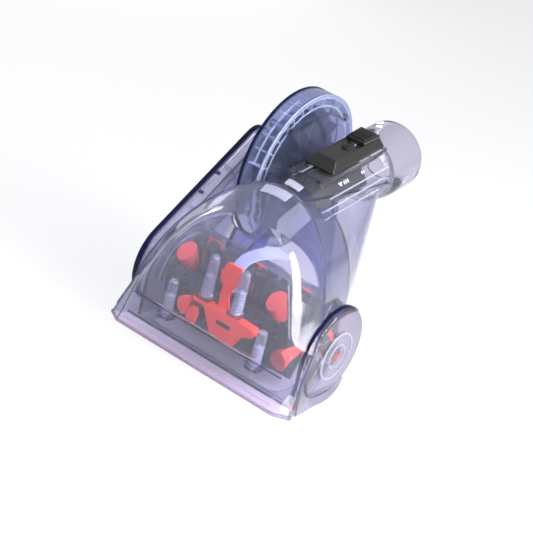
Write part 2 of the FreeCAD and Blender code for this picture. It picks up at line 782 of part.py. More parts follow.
def turbine_rotor():
    back = DRUM_LEFT + DRUM_WALL + 1.2
    front = DRUM_RIGHT - DRUM_WALL - 1.2
    parts = [rod(ROTOR_R, back, back + ROTOR_BACK, TURBINE), rod(HUB_R, back, back + HUB_LONG, TURBINE)]
    for k in range(ROTOR_BLADES):
        blade = Part.makeBox(front - back, BLADE_THICK, ROTOR_R - HUB_R, V(back, -BLADE_THICK / 2, HUB_R - 1))
        blade.rotate(V(0, 0, HUB_R), SIDE, -25)
        blade.rotate(V(0, 0, 0), SIDE, 360.0 / ROTOR_BLADES * k)
        blade.translate(TURBINE)
        parts.append(blade)
    rotor = join(parts).common(rod(ROTOR_R, back, front, TURBINE))
    return rotor.cut(rod(SHAFT_R + FIT_GAP / 5, -100, 0, TURBINE))


def turbine_shaft():
    back = DRUM_LEFT + DRUM_WALL + 1.2
    return rod(SHAFT_R, BELT_OUT + BELT_PLATE + 1, back + HUB_LONG + 3.0, TURBINE)


def rotor_nut():
    back = DRUM_LEFT + DRUM_WALL + 1.2 + HUB_LONG
    corners = [polar(TURBINE, 4.6, 60 * k, back) for k in range(6)]
    nut = Part.Face(Part.makePolygon(corners + corners[:1])).extrude(V(2.6, 0, 0))
    return nut.cut(rod(SHAFT_R + FIT_GAP / 5, -100, 0, TURBINE))


def shaft_bush(x0, x1):
    return rod(SHAFT_BUSH_R, x0, x1, TURBINE).cut(rod(SHAFT_R + FIT_GAP, -100, 0, TURBINE))


# Switch

def slide_switch():
    base_v = TUBE_V + PAD_V + RUN_GAP
    low = rounded_rectangle(SWITCH_HALF, SWITCH_FRONT, SWITCH_FRONT + SWITCH_LONG, base_v + 1.6)
    high = rounded_rectangle(SWITCH_TOP_HALF, SWITCH_FRONT + SWITCH_NOSE,
                             SWITCH_FRONT + SWITCH_LONG - SWITCH_TAIL, base_v + SWITCH_HIGH)
    foot = Part.Face(low).extrude(ACROSS * -1.6)
    block = join([loft(low, high), foot])
    for k in range(GRIP_RIBS):
        u = SWITCH_FRONT + SWITCH_LONG - SWITCH_TAIL - 5 - k * GRIP_PITCH
        block = block.cut(tube_box(-SWITCH_TOP_HALF + 1.5, SWITCH_TOP_HALF - 1.5, u, u + GRIP_PITCH / 2,
                                   base_v + SWITCH_HIGH - GRIP_DEEP, base_v + SWITCH_HIGH + 5))
    stem = tube_box(-STEM_HALF, STEM_HALF, SWITCH_FRONT + STEM_AT, SWITCH_FRONT + STEM_AT + STEM_LONG,
                    TUBE_V + SLEEVE_R + 0.05, base_v + 1)
    block = join([block, stem])
    screw = Part.makeCylinder(SCREW_HEAD_R + 0.2, 10, screw_point(base_v + SWITCH_HIGH - 1.8), ACROSS)
    shank = Part.makeCylinder(SCREW_R + 0.1, 60, screw_point(TUBE_V), ACROSS)
    return block.cut(screw).cut(shank)


def screw_point(v):
    return tube_point(SWITCH_FRONT + STEM_AT + STEM_LONG / 2, v)


def rounded_rectangle(half, u0, u1, v):
    inset = SWITCH_CORNER
    corner = inset * (1 - math.sqrt(0.5))
    edges = []
    points = [
        (half, u0 + inset, half, u1 - inset, half - corner, u1 - corner, half - inset, u1),
        (half - inset, u1, -half + inset, u1, -half + corner, u1 - corner, -half, u1 - inset),
        (-half, u1 - inset, -half, u0 + inset, -half + corner, u0 + corner, -half + inset, u0),
        (-half + inset, u0, half - inset, u0, half - corner, u0 + corner, half, u0 + inset),
    ]
    for x0, y0, x1, y1, x2, y2, x3, y3 in points:
        edges.append(Part.LineSegment(tube_point(y0, v, x0), tube_point(y1, v, x1)).toShape())
        edges.append(Part.Arc(tube_point(y1, v, x1), tube_point(y2, v, x2), tube_point(y3, v, x3)).toShape())
    return Part.Wire(edges)


def switch_screw():
    base_v = TUBE_V + PAD_V + RUN_GAP
    head = Part.makeCylinder(SCREW_HEAD_R, 1.6, screw_point(base_v + SWITCH_HIGH - 1.8), ACROSS)
    shank = Part.makeCylinder(SCREW_R, PAD_V - SLEEVE_R + SLEEVE_THICK + SWITCH_HIGH - 1.0,
                              screw_point(TUBE_V + SLEEVE_R - SLEEVE_THICK), ACROSS)
    return join([head, shank])


def valve_sleeve():
    end = SLEEVE_FRONT + SLEEVE_LONG
    ring = tube_rod(SLEEVE_R, SLEEVE_FRONT, end).cut(tube_rod(SLEEVE_R - SLEEVE_THICK, 0, 300))
    keep_v = SLEEVE_R * math.cos(math.radians(SLEEVE_ANGLE))
    sleeve = ring.common(tube_box(-100, 100, 0, 300, TUBE_V + keep_v, TUBE_V + 100))
    return sleeve.cut(Part.makeCylinder(SCREW_R + 0.05, 60, screw_point(TUBE_V), ACROSS))


# Bracket, screws

def bracket_outline():
    # A plate under the two middle bosses that runs down to a tongue and out to a wing
    top = BOSS_IN_Z - LEDGE_THICK
    low = top - BRACKET_THICK
    left = V(-BRACKET_HALF, BRACKET_FRONT, top)
    shoulder = V(BRACKET_SHOULDER_X, BRACKET_FRONT, low)
    foot_left = V(BRACKET_FOOT_LEFT, BRACKET_FRONT, BRACKET_FOOT_Z)
    foot_right = V(BRACKET_FOOT_RIGHT, BRACKET_FRONT, BRACKET_FOOT_Z)
    knee = V(BRACKET_KNEE_X, BRACKET_FRONT, BRACKET_KNEE_Z)
    wing_low = V(BRACKET_WING_X, BRACKET_FRONT, BRACKET_WING_Z - BRACKET_WING_R)
    wing_end = V(BRACKET_WING_X + BRACKET_WING_R, BRACKET_FRONT, BRACKET_WING_Z)
    wing_top = V(BRACKET_WING_X, BRACKET_FRONT, BRACKET_WING_Z + BRACKET_WING_R)
    right = V(BRACKET_HALF, BRACKET_FRONT, top)
    edges = [
        Part.LineSegment(left, V(-BRACKET_HALF, BRACKET_FRONT, low)).toShape(),
        Part.LineSegment(V(-BRACKET_HALF, BRACKET_FRONT, low), shoulder).toShape(),
        Part.LineSegment(shoulder, foot_left).toShape(),
        Part.LineSegment(foot_left, foot_right).toShape(),
        Part.LineSegment(foot_right, knee).toShape(),
        Part.LineSegment(knee, wing_low).toShape(),
        Part.Arc(wing_low, wing_end, wing_top).toShape(),
        Part.LineSegment(wing_top, right).toShape(),
        Part.LineSegment(right, left).toShape(),
    ]
    return Part.Face(Part.Wire(edges))


def front_bracket():
    bracket = bracket_outline().extrude(V(0, AXIS_Y - BRACKET_FRONT, 0))
    bracket = bracket.cut(chamber_block(SEAT_GAP))
    bracket = bracket.common(box(-200, 200, -50, AXIS_Y - CHAMBER_R + 5, -10, 300))
    slot = box(BRACKET_SLOT_X - BRACKET_SLOT_LONG / 2, BRACKET_SLOT_X + BRACKET_SLOT_LONG / 2, -50, AXIS_Y,
               BRACKET_SLOT_Z - BRACKET_SLOT_HIGH / 2, BRACKET_SLOT_Z + BRACKET_SLOT_HIGH / 2)
    bracket = bracket.cut(slot)
    for side in (-1, 1):
        place = V(side * BOSS_IN_X, BOSS_IN_Y, 0)
        bracket = bracket.cut(Part.makeCylinder(BOSS_BORE, 60, place))
        top = screw_top(BOSS_IN_Z)
        bracket = bracket.cut(Part.makeCylinder(SCREW_HEAD_R + 0.4, 8, V(place.x, place.y, top - 8)))
    return bracket


def screw_top(z):
    # The middle pair also holds the bracket
    return z - LEDGE_THICK - (BRACKET_THICK if z > BOSS_OUT_Z + 1 else 0.0)


def screw_heads(gap):
    heads = []
    for x, y, z, length in boss_places():
        top = screw_top(z)
        heads.append(Part.makeCylinder(SCREW_HEAD_R + gap, SCREW_HEAD + gap, V(x, y, top - SCREW_HEAD - gap)))
    return Part.makeCompound(heads)


def boss_screws():
    screws = []
    for x, y, z, length in boss_places():
        top = screw_top(z)
        shank = Part.makeCylinder(SCREW_R, length * SCREW_SHARE + z - top, V(x, y, top))
        head = Part.makeCylinder(SCREW_HEAD_R, SCREW_HEAD, V(x, y, top - SCREW_HEAD))
        screws.append(join([shank, head]))
    return Part.makeCompound(screws)


def drum_screws():
    screws = []
    for place in post_places():
        shank = rod(SCREW_R, DRUM_LEFT + 6, DRUM_RIGHT, place)
        head = rod(SCREW_HEAD_R, DRUM_RIGHT, DRUM_RIGHT + SCREW_HEAD, place)
        screws.append(join([shank, head]))
    return Part.makeCompound(screws)


def placed(shape):
    moved = shape.copy()
    moved.translate(V(0, -ORIGIN_Y, 0))
    return moved


def main():
    os.makedirs("parts", exist_ok=True)
    drum_x = DRUM_LEFT + DRUM_WALL
    pieces = {
        "window_hood": window_hood(),
        "front_body": front_body(),
        "bulkhead": bulkhead(),
        "rear_body": rear_body(),
        "tube_socket": tube_socket(),
        "tube_cover": tube_cover(),
        "sole_frame": sole_frame(),
        "right_end_cap": right_end_cap(),
        "belt_cover": belt_cover(),
        "belt_case": belt_case(),
        "drive_belt": drive_belt(),
        "brush_pulley": brush_pulley(),
        "turbine_pulley": turbine_pulley(),
        "turbine_drum": turbine_drum(),
        "turbine_cover": turbine_cover(),
        "turbine_rotor": turbine_rotor(),
        "turbine_shaft": turbine_shaft(),
        "rotor_nut": rotor_nut(),
        "inner_shaft_bush": shaft_bush(drum_x - 6.0, drum_x),
        "outer_shaft_bush": shaft_bush(BELT_IN - BELT_PLATE, BELT_IN + 5.0),
        "brush_core": brush_core(),
        "brush_paddles": brush_paddles(),
        "bristle_strips": bristle_strips(),
        "brush_axle": brush_axle(),
        "brush_bearing": brush_bearing(),
        "brush_bush": brush_bush(),
        "front_bracket": front_bracket(),
        "boss_screws": boss_screws(),
        "drum_screws": drum_screws(),
        "slide_switch": slide_switch(),
        "switch_screw": switch_screw(),
        "valve_sleeve": valve_sleeve(),
    }
    for name, shape in pieces.items():
        solid = placed(shape)
        print(name, "solids", len(solid.Solids), "valid", solid.isValid(), "volume", round(solid.Volume))
        solid.exportStep("parts/" + name + ".step")


main()
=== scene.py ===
# %% [markdown]
# # Turbo brush for a vacuum hose
# A hand tool with clear shells: air spins a turbine in the drum beside the tube, a belt in the
# case on the left turns the brush, and everything shows through the plastic.
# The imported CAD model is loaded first. It is the frame that every piece below is placed in.

# %% Load the frame
import json
import math

import bmesh
import bpy
from mathutils import Matrix, Vector

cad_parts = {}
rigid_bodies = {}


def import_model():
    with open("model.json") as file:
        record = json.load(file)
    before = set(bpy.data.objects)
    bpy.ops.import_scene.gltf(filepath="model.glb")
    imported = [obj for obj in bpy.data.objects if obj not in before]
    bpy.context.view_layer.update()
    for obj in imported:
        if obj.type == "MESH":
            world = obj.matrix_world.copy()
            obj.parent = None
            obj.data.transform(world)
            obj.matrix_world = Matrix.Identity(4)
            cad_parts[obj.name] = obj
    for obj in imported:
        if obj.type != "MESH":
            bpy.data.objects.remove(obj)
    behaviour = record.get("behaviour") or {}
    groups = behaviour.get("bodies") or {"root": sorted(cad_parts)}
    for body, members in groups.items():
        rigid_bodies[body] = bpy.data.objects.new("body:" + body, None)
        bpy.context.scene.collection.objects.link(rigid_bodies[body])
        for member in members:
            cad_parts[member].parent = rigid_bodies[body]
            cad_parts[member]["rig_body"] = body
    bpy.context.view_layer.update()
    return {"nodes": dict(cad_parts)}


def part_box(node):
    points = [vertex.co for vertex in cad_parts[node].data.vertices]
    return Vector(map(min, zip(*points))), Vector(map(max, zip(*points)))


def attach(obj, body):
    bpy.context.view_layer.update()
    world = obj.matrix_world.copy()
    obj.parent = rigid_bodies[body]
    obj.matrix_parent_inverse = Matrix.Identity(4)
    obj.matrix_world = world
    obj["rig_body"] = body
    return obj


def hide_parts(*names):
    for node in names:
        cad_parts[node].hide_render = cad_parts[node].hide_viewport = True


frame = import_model()
nodes = frame["nodes"]
print("frame loaded:", len(nodes), "nodes")

# %% [markdown]
# The CAD is drawn from the middle of its box. The photograph is easier to read from the middle
# of the lip, so one number turns the second into the first, and lengths are given in millimetres.

# %% Places
MM = 0.001
LIP_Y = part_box("window_hood")[0][1] + 4.0 * MM
TUBE_RISE = math.radians(10.0)
TUBE_AXIS_V = 97.0
ALONG = Vector((0.0, math.cos(TUBE_RISE), math.sin(TUBE_RISE)))
ACROSS = Vector((0.0, -math.sin(TUBE_RISE), math.cos(TUBE_RISE)))
SIDE = Vector((1.0, 0.0, 0.0))
UPWARDS = Vector((0.0, 0.0, 1.0))


def at(x, y, z):
    """A place in millimetres from the lip, as a point of the row frame."""
    return Vector((x * MM, y * MM + LIP_Y, z * MM))


def on_tube(u, v, x=0.0):
    """A place along and across the tube, in millimetres from the lip."""
    place = ALONG * u + ACROSS * v + SIDE * x
    return at(place.x, place.y, place.z)


BRUSH_AXIS = at(0.0, 54.8, 35.2)
TURBINE_AXIS = at(0.0, 138.8, 117.5)
print("lip at y", round(LIP_Y, 4))

# %% [markdown]
# The photograph's camera was fitted to the arch, the end cap, the drum and the tube. It looks
# down from the front right and is rolled a little, which is why the tool seems to lean.

# %% Camera
IMAGE_PIXELS = 533
FOCAL_PIXELS = 1300
SENSOR_MM = 36.0
CAMERA_PLACE = at(434.51, -707.14, 466.11)
camera_data = bpy.data.cameras.new("photo_camera")
camera_data.sensor_width = SENSOR_MM
camera_data.lens = FOCAL_PIXELS / IMAGE_PIXELS * SENSOR_MM
camera = bpy.data.objects.new("photo_camera", camera_data)
bpy.context.scene.collection.objects.link(camera)
RIGHT = Vector((0.7833, 0.5698, 0.2486)).normalized()
BACKWARD = Vector((0.4473, -0.7943, 0.4111)).normalized()
UP = BACKWARD.cross(RIGHT).normalized()
turn = Matrix((RIGHT, UP, BACKWARD)).transposed()
camera.matrix_world = Matrix.Translation(CAMERA_PLACE) @ turn.to_4x4()
bpy.context.scene.camera = camera
bpy.context.scene.view_settings.view_transform = "Standard"

# %% [markdown]
# Colours are written as they would be picked in a photograph, and one function makes them linear.
# One more function adds a shader node with its settings and its links.

# %% Colour and node helpers


def linear(code):
    """An sRGB colour such as 'E04020' as the linear colour that shaders take."""
    channels = [int(code[i:i + 2], 16) / 255 for i in (0, 2, 4)]
    return tuple(c / 12.92 if c <= 0.04045 else ((c + 0.055) / 1.055) ** 2.4 for c in channels) + (1.0,)


def add(tree, kind, settings=None, **inputs):
    """A node of this kind. A setting is an attribute, and an input is a value or another output.

    An input is named as in Blender, with _ for a space, or i6 for the one at place 6.
    """
    node = tree.nodes.new(kind)
    for name, value in (settings or {}).items():
        setattr(node, name, value)
    for name, value in inputs.items():
        key = int(name[1:]) if name[0] == "i" and name[1:].isdigit() else name.replace("_", " ")
        if isinstance(value, bpy.types.NodeSocket):
            tree.links.new(value, node.inputs[key])
        else:
            node.inputs[key].default_value = value
    return node


def new_material(name):
    material = bpy.data.materials.new(name)
    material.use_nodes = True
    material.node_tree.nodes.clear()
    return material, material.node_tree


def grain(tree, size_mm, detail=2.0):
    """Noise whose patches are about this size, fixed to the object."""
    where = add(tree, "ShaderNodeTexCoord")
    return add(tree, "ShaderNodeTexNoise", Vector=where.outputs["Object"],
               Scale=1.0 / (size_mm * MM), Detail=detail)


def ripple(tree, noise, depth_mm, strength):
    return add(tree, "ShaderNodeBump", Height=noise.outputs["Fac"], Distance=depth_mm * MM,
               Strength=strength)


# %% [markdown]
# The shells are moulded polystyrene, clear or tinted. Light passes them almost straight, their
# faces mirror a little, and at a glancing angle the wall is seen through its length, so it turns
# darker and takes more of its tint. Lamps reach the inside because shadow rays pass nearly unchanged.

# %% Clear plastics
WAVE_MM = 14.0
WAVE_DEPTH_MM = 0.12
WAVE_STRENGTH = 0.25
SHADOW_TINT = "F8F8FB"
EDGE_BLEND = 0.35


def clear_plastic(name, tint, edge, veil, veil_colour="E9E8F4", gloss=0.04, ior=1.3):
    """Veil is the share of light that the skin scatters, which greys what is seen through it."""
    material, tree = new_material(name)
    facing = add(tree, "ShaderNodeLayerWeight", Blend=EDGE_BLEND)
    colour = add(tree, "ShaderNodeMix", {"data_type": "RGBA"}, Factor=facing.outputs["Facing"],
                 i6=linear(tint), i7=linear(edge))
    wave = ripple(tree, grain(tree, WAVE_MM), WAVE_DEPTH_MM, WAVE_STRENGTH)
    glass = add(tree, "ShaderNodeBsdfPrincipled", Base_Color=colour.outputs[2],
                Roughness=gloss, IOR=ior, Transmission_Weight=1.0, Normal=wave.outputs["Normal"])
    haze = add(tree, "ShaderNodeBsdfDiffuse", Color=linear(veil_colour))
    skin = add(tree, "ShaderNodeMixShader", Fac=veil, i1=glass.outputs[0], i2=haze.outputs[0])
    lets_light = add(tree, "ShaderNodeBsdfTransparent", Color=linear(SHADOW_TINT))
    ray = add(tree, "ShaderNodeLightPath")
    both = add(tree, "ShaderNodeMixShader", Fac=ray.outputs["Is Shadow Ray"],
               i1=skin.outputs[0], i2=lets_light.outputs[0])
    add(tree, "ShaderNodeOutputMaterial", Surface=both.outputs[0])
    return material


HOOD_CLEAR = clear_plastic("clear polystyrene hood", "E6E7F6", "747696", 0.035, ior=1.45)
SHELL_CLEAR = clear_plastic("clear polystyrene shell", "E8E8EF", "70728E", 0.03)
TUBE_CLEAR = clear_plastic("clear polystyrene tube", "F2F3F9", "6C7090", 0.012)
CASE_CLEAR = clear_plastic("clear belt case", "E4E5EF", "9A9CB6", 0.05)
LILAC_CLEAR = clear_plastic("lilac polystyrene", "A4ABD8", "4A5496", 0.05)
# the liner's deep blue is partly its tint and partly painted shade in the neck under the crown
DUCT_BLUE_AND_PAINTED_SHADE = clear_plastic("blue duct liner, partly painted shade", "7484CC", "36428C", 0.14, "6670B0")
BLUE_CLEAR = clear_plastic("blue tinted polystyrene", "D0D8EA", "4C5C8C", 0.03, "C8D4F4", ior=1.4)
BODY_CLEAR = clear_plastic("smoky polystyrene body", "EAECF6", "5A608C", 0.03)
# the flange's pinkish grey is painted red light from the brush
FLANGE_PAINTED_RED_LIGHT = clear_plastic("clear flange, painted red light", "D4C8D4", "564C62", 0.10)
SKIRT_CLEAR = clear_plastic("smoky cap skirt", "C8C6CE", "5A5C70", 0.06)
# this blue is painted blue light, on the window's ledge, the post ledges and the hood's seam
LEDGE_PAINTED_BLUE_LIGHT = clear_plastic("ledge, painted blue light", "8E96C8", "3C4684", 0.04)
PEG_CLEAR = clear_plastic("clear screw post", "FAFAFF", "6C78C0", 0.10, "F2F0FF", ior=1.25)
# this pink is a painted reflection of the red brush on the lip's edge
BEAD_PAINTED_RED_REFLECTION = clear_plastic("moulded edge, painted red reflection", "F6D8E0", "D898A8", 0.40, "F4C8D4")
NAVY_EDGE = clear_plastic("navy tinted wall end", "2C3566", "10142F", 0.35, "1C2350")
RIB_PALE = clear_plastic("pale blue rib", "E2E8F8", "8894BE", 0.18, "F0F2FC")
TAB_PALE = clear_plastic("clear tab, scuffed", "E4E6F4", "9A9CB8", 0.35, "DADCEC")
PALE_RING = clear_plastic("pale lilac ring", "E6E6F6", "9EA2D0", 0.38, "C4C8E8")

# %% [markdown]
# Solid plastics have a fine moulded texture that blurs the gloss, and metal has a fine grain.
# The brush's red parts are glossy, its core and bristles are dull, and the screws are zinc plated.

# %% Solid plastics, rubber and metal


def moulded(name, colour, shade, gloss, texture_mm=0.8, depth=0.02, coat=0.0):
    material, tree = new_material(name)
    noise = grain(tree, texture_mm, 3.0)
    mixed = add(tree, "ShaderNodeMix", {"data_type": "RGBA"}, Factor=noise.outputs["Fac"],
                i6=linear(colour), i7=linear(shade))
    bumpy = ripple(tree, noise, depth, 0.4)
    body = add(tree, "ShaderNodeBsdfPrincipled", Base_Color=mixed.outputs[2], Roughness=gloss,
               Coat_Weight=coat, Normal=bumpy.outputs["Normal"])
    add(tree, "ShaderNodeOutputMaterial", Surface=body.outputs[0])
    return material


def metal(name, colour, shade, gloss):
    material, tree = new_material(name)
    noise = grain(tree, 0.6, 4.0)
    mixed = add(tree, "ShaderNodeMix", {"data_type": "RGBA"}, Factor=noise.outputs["Fac"],
                i6=linear(colour), i7=linear(shade))
    body = add(tree, "ShaderNodeBsdfPrincipled", Base_Color=mixed.outputs[2], Roughness=gloss,
               Metallic=1.0, Normal=ripple(tree, noise, 0.01, 0.3).outputs["Normal"])
    add(tree, "ShaderNodeOutputMaterial", Surface=body.outputs[0])
    return material


RED_ABS = moulded("red abs", "FF5044", "FF463A", 0.32, coat=0.3)
BLACK_NYLON = moulded("black nylon bristle", "15151A", "26262C", 0.55, 0.5)
BLACK_ABS = moulded("charcoal abs", "1D1B1A", "2A2622", 0.3, 0.5, coat=0.3)
BLACK_SLEEVE = moulded("black sleeve", "0A0B14", "12141F", 0.5, 0.8)
ROTOR_PLASTIC = moulded("rotor plastic", "0A1238", "141E4A", 0.5, 0.8)
PRINT_WHITE = moulded("white pad print", "DCDCE2", "CECED6", 0.5)
DARK_CORE = moulded("charcoal brush core", "2C1C26", "3A2430", 0.45, 0.8)
PALE_NYLON = moulded("pale nylon", "D9D8E2", "C8C8D4", 0.4)
RUBBER = moulded("grey belt rubber", "9A9AA8", "8A8A98", 0.6, 0.4)
STEEL = metal("zinc plated steel", "C8CACF", "9A9CA6", 0.25)
BRIGHT_ZINC = moulded("bright zinc thread", "D0D0DA", "6E6E82", 0.28, 0.6)
BRONZE = metal("sintered bronze", "B08A50", "8C6C3C", 0.4)

FINISH = {
    "window_hood": HOOD_CLEAR, "front_body": SHELL_CLEAR, "sole_frame": SHELL_CLEAR,
    "right_end_cap": SHELL_CLEAR, "bulkhead": LILAC_CLEAR, "rear_body": BODY_CLEAR,
    "tube_cover": TUBE_CLEAR, "belt_case": CASE_CLEAR, "belt_cover": CASE_CLEAR,
    "turbine_drum": BLUE_CLEAR, "turbine_cover": BLUE_CLEAR, "turbine_rotor": ROTOR_PLASTIC,
    "turbine_shaft": STEEL, "rotor_nut": STEEL, "inner_shaft_bush": BRONZE,
    "outer_shaft_bush": BRONZE, "brush_bearing": BRONZE, "brush_bush": BRONZE,
    "brush_core": DARK_CORE, "brush_paddles": RED_ABS, "tube_socket": TUBE_CLEAR,
    "bristle_strips": BLACK_NYLON, "brush_axle": STEEL, "front_bracket": RED_ABS,
    "boss_screws": STEEL, "drum_screws": STEEL, "switch_screw": STEEL,
    "slide_switch": BLACK_ABS, "valve_sleeve": BLACK_SLEEVE, "drive_belt": RUBBER,
    "brush_pulley": PALE_NYLON, "turbine_pulley": PALE_NYLON,
}

# %% [markdown]
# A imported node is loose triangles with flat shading. Copied, merged and rounded at its edges, the
# same shape catches light as a moulding does. The copy stands for the node, at the same place.

# %% Rounded copies of the CAD nodes
WELD_MM = 0.004


def finish(obj, material, body, *stands_for):
    obj.data.materials.clear()
    obj.data.materials.append(material)
    if stands_for:
        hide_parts(*stands_for)
    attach(obj, body)
    return obj


def shade_by_angle(mesh, degrees):
    shape = bmesh.new()
    shape.from_mesh(mesh)
    for face in shape.faces:
        face.smooth = True
    for edge in shape.edges:
        edge.smooth = edge.calc_face_angle(math.pi) < math.radians(degrees)
    shape.to_mesh(mesh)
    shape.free()


def rounded_copy(node, radius_mm, sharp=32.0, flat=1.0):
    """A copy of a CAD node, its flat triangles merged and its sharp edges rounded by the radius."""
    source = nodes[node]
    mesh = source.data.copy()
    obj = bpy.data.objects.new(node + "_moulded", mesh)
    bpy.context.scene.collection.objects.link(obj)
    shape = bmesh.new()
    shape.from_mesh(mesh)
    bmesh.ops.remove_doubles(shape, verts=shape.verts, dist=WELD_MM * MM)
    bmesh.ops.dissolve_limit(shape, angle_limit=math.radians(flat), verts=shape.verts, edges=shape.edges)
    shape.to_mesh(mesh)
    shape.free()
    shade_by_angle(mesh, sharp)
    if radius_mm:
        bevel = obj.modifiers.new("rounded edges", "BEVEL")
        bevel.width = radius_mm * MM
        bevel.segments = 2
        bevel.limit_method = "ANGLE"
        bevel.angle_limit = math.radians(sharp)
    return finish(obj, FINISH[node], source["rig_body"], node)


# the radius in millimetres of each node's edges, where 0 leaves them sharp
ROUNDED = {
    "front_body": 0.0, "sole_frame": 0.3, "right_end_cap": 0.4, "bulkhead": 0.3,
    "rear_body": 0.0, "tube_cover": 0.0, "belt_case": 0.3, "belt_cover": 0.5,
    "turbine_drum": 0.5, "turbine_cover": 0.4, "turbine_rotor": 0.2, "brush_core": 0.0,
    "brush_paddles": 0.8, "tube_socket": 0.0, "front_bracket": 0.4, "brush_pulley": 0.2,
    "turbine_pulley": 0.2, "valve_sleeve": 0.3,
}
for node_name, radius in ROUNDED.items():
    rounded_copy(node_name, radius)
for node_name, obj in nodes.items():
    if node_name not in ROUNDED:
        obj.data.materials.clear()
        obj.data.materials.append(FINISH[node_name])
print("rounded copies:", len(ROUNDED))

# %% [markdown]
# Most pieces start the same way: a row of places is joined into a line or a face, and an operator
# gives it a body. Short helpers hold that work, so each later cell says only what the piece is.

# %% Modelling helpers


def new_piece(name, shape, material, body, smooth=35.0):
    """Turn a finished bmesh into an object that rides on a body."""
    bmesh.ops.recalc_face_normals(shape, faces=shape.faces)
    mesh = bpy.data.meshes.new(name)
    shape.to_mesh(mesh)
    shape.free()
    shade_by_angle(mesh, smooth)
    obj = bpy.data.objects.new(name, mesh)
    bpy.context.scene.collection.objects.link(obj)
    finish(obj, material, body)
    return obj


def soften(obj, width_mm, segments=2, degrees=35.0):
    """Round the edges that are sharper than this."""
    bevel = obj.modifiers.new("rounded edges", "BEVEL")
    bevel.width = width_mm * MM
    bevel.segments = segments
    bevel.limit_method = "ANGLE"
    bevel.angle_limit = math.radians(degrees)
    return obj


def ring_face(shape, places):
    return shape.faces.new([shape.verts.new(place) for place in places])


def slab(shape, places, push):
    """A flat outline pushed along a direction into a closed plate."""
    face = ring_face(shape, places)
    made = bmesh.ops.extrude_face_region(shape, geom=[face])
    moved = [item for item in made["geom"] if isinstance(item, bmesh.types.BMVert)]
    bmesh.ops.translate(shape, verts=moved, vec=push)


def loft_rings(shape, rings, closed):
    """Rows of places, each bridged to the next as a sheet or a tube."""
    rows = []
    for ring in rings:
        verts = [shape.verts.new(place) for place in ring]
        edges = [shape.edges.new(pair) for pair in zip(verts, verts[1:])]
        if closed:
            edges.append(shape.edges.new((verts[-1], verts[0])))
        rows.append(edges)
    for before, after in zip(rows, rows[1:]):
        bmesh.ops.bridge_loops(shape, edges=before + after)
    return rows


def turned(shape, outline, start, along, steps=48):
    """A turned shape: outline holds (distance along, radius) in millimetres."""
    side = along.orthogonal().normalized()
    verts = [shape.verts.new(start + along * (d * MM) + side * (r * MM)) for d, r in outline]
    edges = [shape.edges.new(pair) for pair in zip(verts, verts[1:])]
    bmesh.ops.spin(shape, geom=verts + edges, cent=start, axis=along, angle=2 * math.pi,
                   steps=steps, use_merge=True)
    bmesh.ops.remove_doubles(shape, verts=shape.verts, dist=0.002 * MM)


def strip(shape, path, up, wide_mm, high_mm):
    """A bar of rectangular section along a path, standing on it in the direction of up."""
    rings = []
    for index, place in enumerate(path):
        before = path[max(index - 1, 0)]
        after = path[min(index + 1, len(path) - 1)]
        across = (after - before).cross(up).normalized() * (wide_mm * MM / 2)
        rise = up * (high_mm * MM)
        rings.append([place - across, place + across, place + across + rise, place - across + rise])
    rows = loft_rings(shape, rings, True)
    bmesh.ops.edgenet_fill(shape, edges=rows[0])
    bmesh.ops.edgenet_fill(shape, edges=rows[-1])


def thicken(obj, thick_mm, offset):
    """Give a sheet its thickness, inwards with offset -1 and on both sides with 0."""
    wall = obj.modifiers.new("wall", "SOLIDIFY")
    wall.thickness = thick_mm * MM
    wall.offset = offset
    return obj


def subdivide(obj):
    smooth = obj.modifiers.new("smooth", "SUBSURF")
    smooth.levels = 2
    smooth.render_levels = 2
    return obj


def circle_place(centre, radius_mm, degrees, x_mm):
    """A place on a circle round the side axis: 0 degrees is at the back, 90 is on top."""
    angle = math.radians(degrees)
    spoke = Vector((0.0, math.cos(angle), math.sin(angle)))
    return centre + spoke * (radius_mm * MM) + SIDE * (x_mm * MM)


def arc_strip(shape, centre, radius_mm, x_mm, start, end, wide_mm, high_mm):
    """A rib along a circle round the side axis, standing outwards from the radius."""
    count = max(6, int(abs(end - start) / 5))
    rings = []
    for step in range(count + 1):
        degrees = start + (end - start) * step / count
        low = circle_place(centre, radius_mm, degrees, x_mm)
        high = circle_place(centre, radius_mm + high_mm, degrees, x_mm)
        half = SIDE * (wide_mm * MM / 2)
        rings.append([low - half, low + half, high + half, high - half])
    rows = loft_rings(shape, rings, True)
    bmesh.ops.edgenet_fill(shape, edges=rows[0])
    bmesh.ops.edgenet_fill(shape, edges=rows[-1])


# %% [markdown]
# The window hood is one clear moulding, a band that narrows to a rounded ridge and a window that
# bulges out of it. A lofted CAD face is creased at the ridge, so the hood is made again as a cage of
# arches, smoothed by subdivision, and given its wall afterwards.

# %% Window hood cage
# s runs up a leaning plane from its foot, and at STEP_S the window steps out of the ridge's plane
SIDE_STEPS = [1.0, 2.0, 8.0, 16.0, 23.0, 26.6, 27.5, 28.3, 29.4, 33.0, 41.0]
CROWN_FROM = 50.0
CROWN_STEPS = 16
HOOD_WALL = 2.2
RIDGE_FOOT_Y = -4.0
RIDGE_LEAN = 16.7
RIDGE_HALF = 72.0
SEAM_FOOT_Y = 4.0
SEAM_LEAN = 23.0
STEP_S = 27.7


